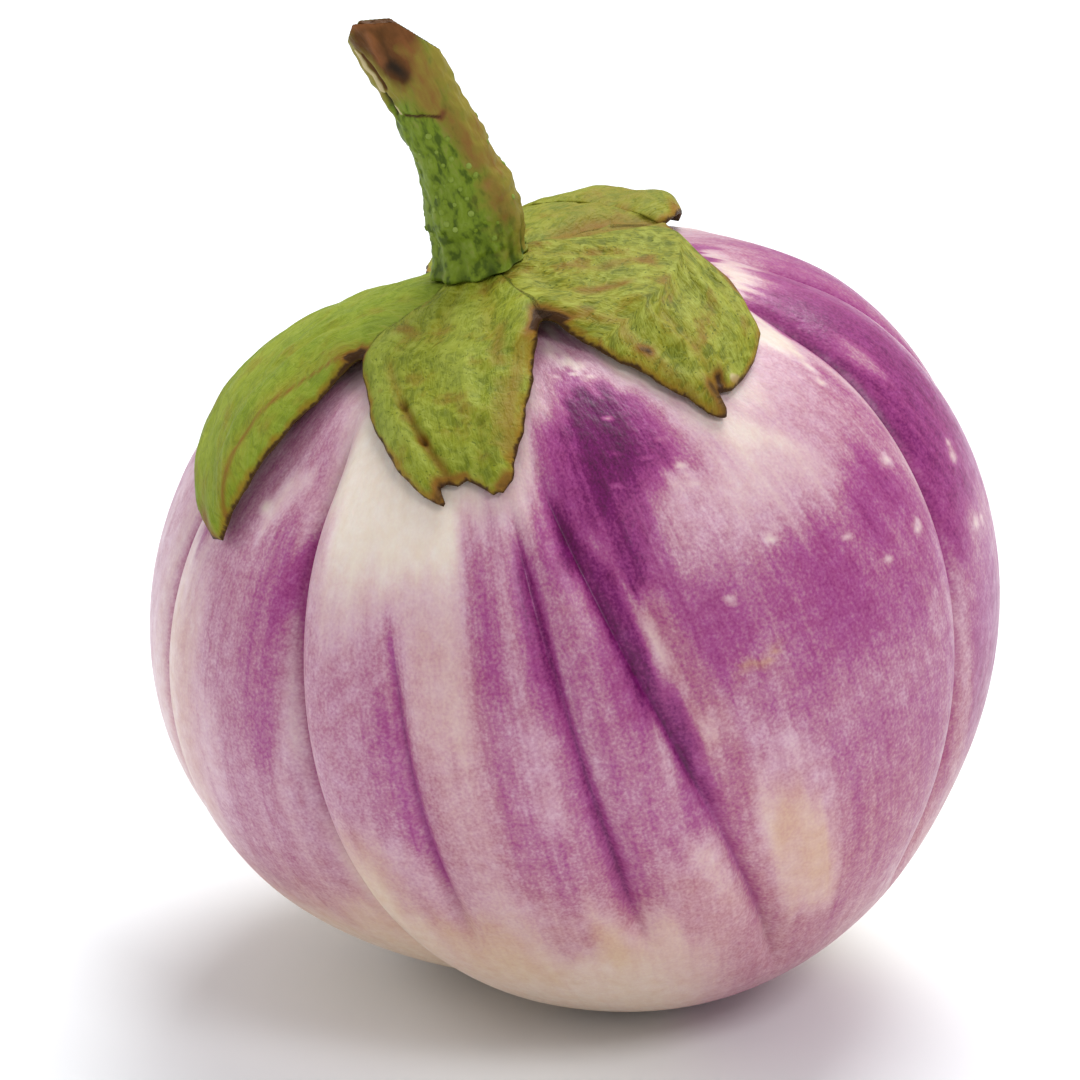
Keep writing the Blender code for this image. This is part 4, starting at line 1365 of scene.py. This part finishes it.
@dataclass(frozen=True)
class BarkFinish:
    """Eggplant stalk: fresh green bark that dries olive and brown, grown rough and torn off by hand.

    It is matt, with pale raised pores, and the torn wood is the darkest place on the object.
    """

    fresh: str = "#728623"
    deep: str = "#3d4f0e"
    dry: str = "#8b7e30"
    rust: str = "#82502a"
    wood: str = "#5a3714"
    # Near black: painted shade in the cracks and the torn end's hollow, and a small dark stain.
    dark_stain_and_crack_shade: str = "#26180a"
    cream: str = "#c9b88a"
    wart: str = "#8fa04c"
    grain_mm: float = 0.9
    cloud_mm: float = 2.6
    grain_stretch: tuple[float, float, float] = (1.0, 1.0, 0.5)
    wart_noise: float = 400.0
    specular: float = 0.2
    roughness: float = 0.55
    ior: float = 1.42

    def material(self) -> bpy.types.Material:
        """Builds the bark's material from the attributes bark (mm), stain and cast."""
        material, tree = new_material("dried green stalk bark")
        add = partial(place_node, tree)
        fray = partial(frayed, tree)
        bark, stain, cast = (
            add(ATTRIBUTE, output="Vector", attribute_name=label) for label in ("bark", "stain", "cast")
        )
        dry, wood, dark_stain_and_crack_shade = add(SPLIT, {0: stain}).node.outputs
        groove_shade, rust, pale = add(SPLIT, {0: cast}).node.outputs
        drawn = add(VECTOR_MATH, {0: bark, 1: self.grain_stretch}, operation="MULTIPLY")
        cloud = add(NOISE, {"Vector": bark, "Scale": 1.0 / self.cloud_mm, "Detail": 4.0})
        grain = add(NOISE, {"Vector": drawn, "Scale": 1.0 / self.grain_mm, "Detail": 4.0})
        coats = (
            (add(SPAN, {0: grain, 1: 0.5, 2: 0.36, 4: 0.85}), self.deep),
            (add(SPAN, {0: grain, 1: 0.54, 2: 0.7, 4: 0.5}), self.wart),
            (fray(cloud, 1.2, dry, 0.85, 1.4), self.dry),
            # Painted shade in the grooves at the foot, in the deep green.
            (groove_shade, self.deep),
            (fray(cloud, 0.7, wood, 0.6, 1.0), self.wood),
            (fray(grain, 0.8, rust, 0.5, 1.1), self.rust),
            # The near black: painted shade in cracks and hollows, and a dark stain.
            (fray(cloud, 0.5, dark_stain_and_crack_shade, 0.5, 1.0), self.dark_stain_and_crack_shade),
            (fray(grain, 0.4, pale, 0.6, 0.9), self.cream),
        )
        colour = paint_over(tree, hex_colour(self.fresh), coats)
        finish_surface(tree, colour, [(0.7, 0.4 * MM, grain)], self.surface_values())
        return material

    def surface_values(self) -> dict[str, float]:
        """The shader inputs that bark and pores share."""
        return {"Roughness": self.roughness, "Specular IOR Level": self.specular, "IOR": self.ior}

    def wart_material(self) -> bpy.types.Material:
        """Pale corky pores, a little drier than the bark round them."""
        material, tree = new_material("corky stalk pores")
        place = place_node(tree, "ShaderNodeTexCoord", output="Object")
        cloud = place_node(tree, NOISE, {"Vector": place, "Scale": self.wart_noise, "Detail": 2.0})
        colour = place_node(tree, RAMP, {0: cloud}, stops=((0.3, self.wart), (0.6, self.fresh)))
        finish_surface(tree, colour, [], self.surface_values())
        return material


@dataclass(frozen=True)
class Stalk:
    """The cut stem: a ribbed foot, a warty bark and a torn end. Girth and knots are in mm."""

    body: Body
    finish: BarkFinish
    base_height: float = 3.6 * MM
    bend: tuple[float, float, float] = (-2.0 * MM, -1.6 * MM, 13.0 * MM)
    tip: tuple[float, float, float] = (-12.8 * MM, -3.9 * MM, 31.2 * MM)
    length: float = 34.0
    ribs: int = 11
    rib_height: float = 0.30 * MM
    rib_fade: float = 0.16
    marks: tuple[BarkMark, ...] = BARK_MARKS
    overrun: float = 1.15
    sides: int = 112
    rings: int = 190
    end_rings: int = 16
    inset: float = 0.06 * MM
    grid: int = 400
    wart_seed: int = 5
    # Pores grow between two shares of the length and fade over a third one, most of them at the left front.
    wart_run: tuple[float, float, float] = (0.12, 0.64, 0.1)
    wart_turn: float = 2.3
    fewest_warts: float = 0.12
    girth: tuple[tuple[float, float], ...] = (
        (0.0, 7.15), (0.02, 6.95), (0.05, 6.7), (0.09, 6.4), (0.15, 6.2), (0.28, 5.9), (0.40, 5.1),
        (0.54, 4.5), (0.70, 4.3), (0.84, 4.5), (1.2, 4.7),
    )
    # The foot is squeezed at the right. Over shares of the length it settles on the crown and the painted shade in
    # its grooves fades.
    foot_squeeze: float = 0.26
    squeeze_turn: float = 0.2
    settle_run: float = 0.2
    groove_shade_run: float = 0.12
    wear_start: float = 0.04
    # The bark's unevenness, as a height and a size in mm and a seed.
    wear: tuple[tuple[float, float, float], ...] = ((0.26, 2.4, 2.0), (0.2, 1.1, 6.0))
    # A knot is its share of the length, its turn in degrees and its height. Run is how long one is.
    knot_run: float = 0.06
    knot_focus: float = 3.0
    knots: tuple[tuple[float, float, float], ...] = (
        (0.34, 5.0, 0.35), (0.53, 0.0, 0.3), (0.62, 178.0, 0.45), (0.24, 120.0, 0.5), (0.45, 80.0, 0.35),
    )
    # The torn end's roughness, by size in mm and seed, its depth, and how much the end narrows.
    tear_noise: tuple[float, float] = (1.3, 4.0)
    tear_depth: float = 0.9 * MM
    tear_narrowing: float = 0.14
    # The slanting faces of the torn end, each a place in mm from its middle and the way it faces.
    cuts: tuple[tuple[tuple[float, float, float], tuple[float, float, float]], ...] = (
        ((0.0, 0.0, -0.7), (-0.06, 0.12, 0.98)),
        ((3.9, 0.0, -1.9), (0.52, 0.16, 0.83)),
        ((-3.5, 0.0, -2.8), (-0.92, 0.10, 0.38)),
    )

    def foot(self) -> np.ndarray:
        """The centre of the stalk's foot, just above the crown of the calyx."""
        return self.body.surface(np.zeros(1), np.zeros(1), self.base_height)[0]

    def line(self, share: np.ndarray) -> np.ndarray:
        """Points on the centre line: a curve with one bend, which runs straight on past its tip."""
        foot = self.foot()
        bend = foot + np.array(self.bend)
        tip = foot + np.array(self.tip)
        share = np.maximum(share, 0.0)[:, None]
        inside = np.minimum(share, 1.0)
        curve = foot * (1.0 - inside) ** 2 + bend * 2.0 * inside * (1.0 - inside) + tip * inside**2
        return curve + (tip - bend) * 2.0 * np.maximum(share - 1.0, 0.0)

    def frames(self, centres: np.ndarray) -> tuple[np.ndarray, np.ndarray]:
        """The right and front directions square to the stalk at each ring."""
        tangents = np.gradient(centres, axis=0)
        tangents[0] = self.body.axes()[2]
        tangents /= np.linalg.norm(tangents, axis=1, keepdims=True)
        side = self.body.axes()[1]
        right = side - tangents * (tangents @ side)[:, None]
        right /= np.linalg.norm(right, axis=1, keepdims=True)
        return right, np.cross(right, tangents)

    def path(self) -> bpy.types.Object:
        """The centre line as a chain of edges with its girth, and small rings of it that close both ends."""
        shares = (np.arange(self.rings + 1) / self.rings) ** 1.15 * self.overrun
        ends = np.arange(1, self.end_rings + 1) / self.end_rings
        step = 0.02 * MM
        centres = self.line(shares)
        right, _ = self.frames(centres)
        first = self.body.axes()[2]
        last = centres[-1] - centres[-2]
        last /= np.linalg.norm(last)
        foot_rows = centres[0] - first * (step * ends[::-1, None] * self.end_rings)
        tip_rows = centres[-1] + last * (step * ends[:, None] * self.end_rings)
        girth = np.interp(shares, *zip(*self.girth)) * MM
        points = np.vstack([foot_rows, centres, tip_rows])
        count = len(points)
        fill = np.concatenate([1.0 - ends[::-1], np.ones(len(shares)), 1.0 - ends])
        values = {
            "girth": np.concatenate([np.full(len(ends), girth[0]), girth, np.full(len(ends), girth[-1])])
            * np.maximum(fill, 1e-4),
            "share": np.concatenate([0.0 * ends - 1.0, shares, 0.0 * ends + self.overrun + 1.0]),
            "fill": fill,
            "spoke": np.vstack([right[:1].repeat(len(ends), 0), right, right[-1:].repeat(len(ends), 0)]),
        }
        source = plain_object("stalk_path", points, [], values)
        source.data.edges.add(count - 1)
        pairs = np.stack([np.arange(count - 1), np.arange(1, count)], axis=-1)
        source.data.edges.foreach_set("vertices", pairs.ravel())
        return source

    def sweep(self, material: bpy.types.Material) -> bpy.types.Object:
        """Rolls a ribbed skin round the path with Geometry Nodes."""
        recipe = Recipe(
            "ribbed stalk along a path",
            {
                "Sides": ("Int", self.sides),
                "Ribs": ("Int", self.ribs),
                "Rib Height": ("Float", self.rib_height),
                "Rib Fade": ("Float", self.rib_fade),
                "Material": ("Material", material),
            },
        )
        add, start = recipe.add, recipe.start
        spoke = add(NAMED, {"Name": "spoke"}, data_type="FLOAT_VECTOR")
        girth = add(NAMED, {"Name": "girth"}, data_type="FLOAT")
        share = add(NAMED, {"Name": "share"}, data_type="FLOAT")
        place = add("GeometryNodeInputPosition")
        curve = add("GeometryNodeMeshToCurve", {0: start["Geometry"]})
        curve = add("GeometryNodeSetCurveNormal", {"Curve": curve, "Normal": spoke}, mode="FREE")
        kept_centre = {"Geometry": curve, "Name": "centre", "Value": place}
        curve = add(STORE, kept_centre, data_type="FLOAT_VECTOR", domain="POINT")
        ring = add("GeometryNodeCurvePrimitiveCircle", {"Resolution": start["Sides"], "Radius": 1.0})
        factor = add("GeometryNodeSplineParameter")
        angle = add(MATH, {0: factor, 1: -2.0 * math.pi}, operation="MULTIPLY")
        kept_turn = {"Geometry": ring, "Name": "turn", "Value": angle}
        ring = add(STORE, kept_turn, data_type="FLOAT", domain="POINT")
        skin = add("GeometryNodeCurveToMesh", {"Curve": curve, "Profile Curve": ring, "Scale": girth})
        centre = add(NAMED, {"Name": "centre"}, data_type="FLOAT_VECTOR")
        turn = add(NAMED, {"Name": "turn"}, data_type="FLOAT")
        outward = add(VECTOR_MATH, {0: place, 1: centre}, operation="SUBTRACT")
        outward = add(VECTOR_MATH, {0: outward}, operation="NORMALIZE")
        waves = add(MATH, {0: turn, 1: start["Ribs"]}, operation="MULTIPLY")
        rise = add(MATH, {0: waves}, operation="COSINE")
        fade = add(MATH, {0: share, 1: start["Rib Fade"]}, operation="DIVIDE")
        fade = add(MATH, {0: fade, 1: -1.0}, operation="MULTIPLY")
        fade = add(MATH, {0: fade}, operation="EXPONENT")
        fade = add(MATH, {0: fade, 1: 1.0}, operation="MINIMUM")
        for factor in (fade, start["Rib Height"]):
            rise = add(MATH, {0: rise, 1: factor}, operation="MULTIPLY")
        offset = add(VECTOR_MATH, {0: outward, 3: rise}, operation="SCALE")
        recipe.close(add("GeometryNodeSetPosition", {"Geometry": skin, "Offset": offset}))
        return recipe.make(self.path(), "stalk_bark")

    def crown_ring(self, radius: np.ndarray, turn: np.ndarray) -> np.ndarray:
        """Points on the crown of the calyx, a hair above it, at a distance from its middle."""
        return self.body.surface(radius / self.body.lay_radius, math.pi / 2.0 - turn, self.base_height)

    def build(self) -> bpy.types.Object:
        """Makes the dressed stalk."""
        piece = self.sweep(self.finish.material())
        mesh = piece.data
        labels = ("position", "share", "turn", "fill")
        points, share, turn, fill = (read_values(mesh, label) for label in labels)
        foot_rows = share < -0.5
        tip_rows = share > self.overrun + 0.5
        place = np.where(foot_rows, 0.0, np.where(tip_rows, self.overrun, share))
        grid = np.linspace(0.0, self.overrun, self.grid)
        centres = self.line(grid)
        right, front = self.frames(centres)
        last = self.grid - 1
        number = np.clip((place / self.overrun * last).round().astype(int), 0, last)
        spoke = right[number] * np.cos(turn)[:, None] + front[number] * np.sin(turn)[:, None]
        for knot_share, side, height in self.knots:
            round_it = self.knot_focus * (np.cos(turn - math.radians(side)) - 1.0)
            near = np.exp(-(((place - knot_share) / self.knot_run) ** 2) + round_it)
            points = points + spoke * (height * MM * near * fill)[:, None]
        rim = np.interp(0.0, *zip(*self.girth)) * MM + self.rib_height * np.cos(self.ribs * turn)
        foot_spoke = right[0] * np.cos(turn)[:, None] + front[0] * np.sin(turn)[:, None]
        flat_rim = centres[0] + rim[:, None] * foot_spoke
        rim = rim * (1.0 - self.foot_squeeze * np.exp(2.0 * (np.cos(turn - self.squeeze_turn) - 1.0)))
        settle = 1.0 - smooth(place / self.settle_run)
        points = points + settle[:, None] * (self.crown_ring(rim, turn) - flat_rim)
        points = np.where(foot_rows[:, None], self.crown_ring(rim * fill, turn), points)
        bark = np.stack([5.0 * np.cos(turn), 5.0 * np.sin(turn), self.length * place], axis=-1)
        wear = sum(height * ripple(bark, size, seed) for height, size, seed in self.wear)
        rise, stain, cast = self.marked(turn, place)
        # Painted shade in the grooves between the foot's ribs: it fades up the stalk and is stronger towards the
        # front right.
        groove_shade = smooth(-np.cos(self.ribs * turn)) * np.exp(-place / self.groove_shade_run)
        cast[:, 0] = groove_shade * (0.45 + 0.9 * ripple(bark, 4.0, 9.0) + 0.5 * smooth(np.cos(turn - 1.2)))
        raised = (wear + rise - self.inset / MM) * MM * fill * smooth(place / self.wear_start)
        points = points + spoke * raised[:, None]
        points, cut = self.tear(points)
        stain[:, 1] = np.maximum(stain[:, 1], cut)
        mesh.vertices.foreach_set("co", points.ravel())
        low, high, fade = self.wart_run
        warty = smooth((place - low) / fade) * smooth((high - place) / fade)
        warty = warty * np.maximum(smooth(np.cos(turn - self.wart_turn) + 0.1), self.fewest_warts)
        write_values(mesh, {"bark": bark, "stain": stain, "cast": cast, "warty": warty})
        joined = bmesh.new()
        joined.from_mesh(mesh)
        bmesh.ops.remove_doubles(joined, verts=joined.verts, dist=WELD)
        bmesh.ops.recalc_face_normals(joined, faces=joined.faces)
        joined.to_mesh(mesh)
        joined.free()
        mesh.shade_smooth()
        return piece

    def marked(self, turn: np.ndarray, share: np.ndarray) -> tuple[np.ndarray, np.ndarray, np.ndarray]:
        """Draws the marks of the bark.

        Args:
            turn: Angles round the stalk, in radians.
            share: Shares of its length.

        Returns:
            The rise in mm, the shares of dry bark, wood and soot, and those of nothing, rust and pale.
        """
        rise = np.zeros(len(turn))
        stain = np.zeros((len(turn), 3))
        cast = np.zeros((len(turn), 3))
        arc = np.radians(1.0) * self.girth[-3][1]
        for mark in self.marks:
            start = np.array([0.0, mark.start[1] * self.length])
            end = np.array([(mark.end[0] - mark.start[0]) * arc, mark.end[1] * self.length])
            middle = (mark.end[0] - mark.start[0]) / 2.0
            away = (np.degrees(turn) - mark.start[0] - middle + TURN / 2.0) % TURN - TURN / 2.0 + middle
            near = near_line(np.stack([away * arc, share * self.length], axis=-1), start, end, mark.width)
            rise += mark.rise * near
            stain = np.maximum(stain, near[:, None] * np.array([mark.dry, mark.wood, mark.dark_stain_and_crack_shade]))
            cast = np.maximum(cast, near[:, None] * np.array([0.0, mark.rust, mark.pale]))
        return rise, stain, cast

    def tear(self, points: np.ndarray) -> tuple[np.ndarray, np.ndarray]:
        """Slides what lies past the torn end back onto its rough slanting faces.

        Args:
            points: Places on the bark, one a row.

        Returns:
            The places after it, and for each how much it shows torn wood, from 0 to 1.
        """
        tip = self.foot() + np.array(self.tip)
        way = np.array(self.tip) - np.array(self.bend)
        way /= np.linalg.norm(way)
        beyond = np.zeros(len(points))
        for offset, normal in self.cuts:
            normal_way = np.array(normal) / np.linalg.norm(normal)
            high = (points - tip - np.array(offset) * MM) @ normal_way / way.dot(normal_way)
            beyond = np.maximum(beyond, high)
        rough = (0.5 + 0.5 * ripple(points / MM, *self.tear_noise)) * self.tear_depth * smooth(beyond / (1.2 * MM))
        slid = points - way * (beyond + rough)[:, None]
        off_line = slid - tip - way * ((slid - tip) @ way)[:, None]
        slid = slid - off_line * self.tear_narrowing * smooth(beyond / (1.5 * MM))[:, None]
        return slid, smooth(beyond / (0.5 * MM))

    def warts(self, stalk: bpy.types.Object) -> bpy.types.Object:
        """Scatters the raised pores over the bark with Geometry Nodes."""
        recipe = Recipe(
            "pores scattered on bark",
            {
                "Spacing": ("Float", 1.25 * MM),
                "Density": ("Float", 900000.0),
                "Smallest": ("Float", 0.25 * MM),
                "Largest": ("Float", 0.45 * MM),
                "Flatness": ("Float", 0.32),
                "Seed": ("Int", self.wart_seed),
                "Material": ("Material", self.finish.wart_material()),
            },
        )
        add, start = recipe.add, recipe.start
        spread = {
            "Mesh": start["Geometry"],
            "Distance Min": start["Spacing"],
            "Density Max": start["Density"],
            "Density Factor": add(NAMED, {"Name": "warty"}, data_type="FLOAT"),
            "Seed": start["Seed"],
        }
        points, _, rotation = add(
            "GeometryNodeDistributePointsOnFaces", spread, distribute_method="POISSON"
        ).node.outputs
        bead = add("GeometryNodeMeshUVSphere", {"Segments": 8, "Rings": 5, "Radius": 1.0})
        bead = add("GeometryNodeSetShadeSmooth", {0: bead})
        sizes = {2: start["Smallest"], 3: start["Largest"], "Seed": start["Seed"]}
        size = add("FunctionNodeRandomValue", sizes, 1, data_type="FLOAT")
        low = add(MATH, {0: size, 1: start["Flatness"]}, operation="MULTIPLY")
        scale = add("ShaderNodeCombineXYZ", {0: size, 1: size, 2: low})
        beads = {"Points": points, "Instance": bead, "Rotation": rotation, "Scale": scale}
        recipe.close(add("GeometryNodeInstanceOnPoints", beads))
        source = bpy.data.objects.new("pore_source", stalk.data.copy())
        bpy.context.scene.collection.objects.link(source)
        return recipe.make(source, "stalk_pores")


@dataclass(frozen=True)
class Studio:
    """The white ground, the soft lights and the camera of the photograph."""

    floor_half: float = 4.0
    floor_level: float = -0.02 * MM
    floor_colour: str = "#f7fbfe"
    world_strength: float = 0.45
    target: tuple[float, float, float] = (-8.25 * MM, 0.43 * MM, 58.64 * MM)
    elevation: float = math.radians(18.0)
    distance: float = 520.0 * MM
    lens: float = 133.71
    sensor: float = 36.0
    nearest: float = 0.01
    lights: tuple[tuple[str, tuple[float, float, float], float, float, float], ...] = (
        ("overhead_softbox", (0.18, 0.44, 0.88), 3.2, 1.9, 88.0),
        ("key_softbox", (0.44, -0.55, 0.71), 2.4, 0.7, 15.0),
        ("left_softbox", (-0.85, 0.22, 0.45), 2.4, 1.1, 10.0),
    )

    def build(self) -> None:
        """Makes the floor, world, lights and camera."""
        half = self.floor_half
        low = self.floor_level
        corners = np.array([(-half, -half, low), (half, -half, low), (half, half, low), (-half, half, low)])
        floor = plain_object("white_ground", corners, [(0, 1, 2, 3)], {})
        material, tree = new_material("matt white paper")
        finish_surface(tree, hex_colour(self.floor_colour), [], {"Roughness": 1.0, "Specular IOR Level": 0.0})
        floor.data.materials.append(material)
        world = bpy.data.worlds.new("white room")
        world.use_nodes = True
        background = world.node_tree.nodes["Background"]
        feed(world.node_tree, background, {0: (1.0, 1.0, 1.0, 1.0), 1: self.world_strength})
        bpy.context.scene.world = world
        bpy.context.scene.view_settings.view_transform = "Standard"
        target = Vector(self.target)
        for name, way, distance, size, power in self.lights:
            data = bpy.data.lights.new(name, "AREA")
            data.shape = "SQUARE"
            data.size = size
            data.energy = power
            light = bpy.data.objects.new(name, data)
            direction = Vector(way).normalized()
            light.location = target + direction * distance
            light.rotation_euler = direction.to_track_quat("Z", "Y").to_euler()
            bpy.context.scene.collection.objects.link(light)
        self.camera(target)

    def camera(self, target: Vector) -> None:
        """Puts the camera where the photograph was taken from."""
        data = bpy.data.cameras.new("photo_camera")
        data.lens = self.lens
        data.sensor_width = self.sensor
        data.clip_start = self.nearest
        back = Vector((0.0, -math.cos(self.elevation), math.sin(self.elevation)))
        camera = bpy.data.objects.new("photo_camera", data)
        camera.location = target + back * self.distance
        camera.rotation_euler = back.to_track_quat("Z", "Y").to_euler()
        bpy.context.scene.collection.objects.link(camera)
        bpy.context.scene.camera = camera


def main() -> None:
    """Builds the eggplant and its studio, piece by piece."""
    logging.basicConfig(level=logging.INFO, format="%(message)s")
    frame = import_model()
    log.info("frame: nodes %s", ", ".join(sorted(frame["nodes"])))
    Studio().build()
    body = Body()
    fruit = Fruit(body, SkinFinish()).build()
    calyx = Calyx(body, LeafFinish()).build()
    stem = Stalk(body, BarkFinish())
    stalk = stem.build()
    pores = stem.warts(stalk)
    pieces = ((fruit, "fruit", "fruit_skin"), (calyx, "calyx", "calyx_leaf"), (stalk, "stalk", "stalk_bark"))
    for piece, node, slot in pieces:
        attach(piece, "root")
        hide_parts(node)
        log.info("%s: %d faces, stands for %s", piece.name, len(piece.data.polygons), node)
    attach(pores, "root")
    log.info("%s: %d faces", pores.name, len(pores.data.polygons))


if __name__ == "__main__":
    main()
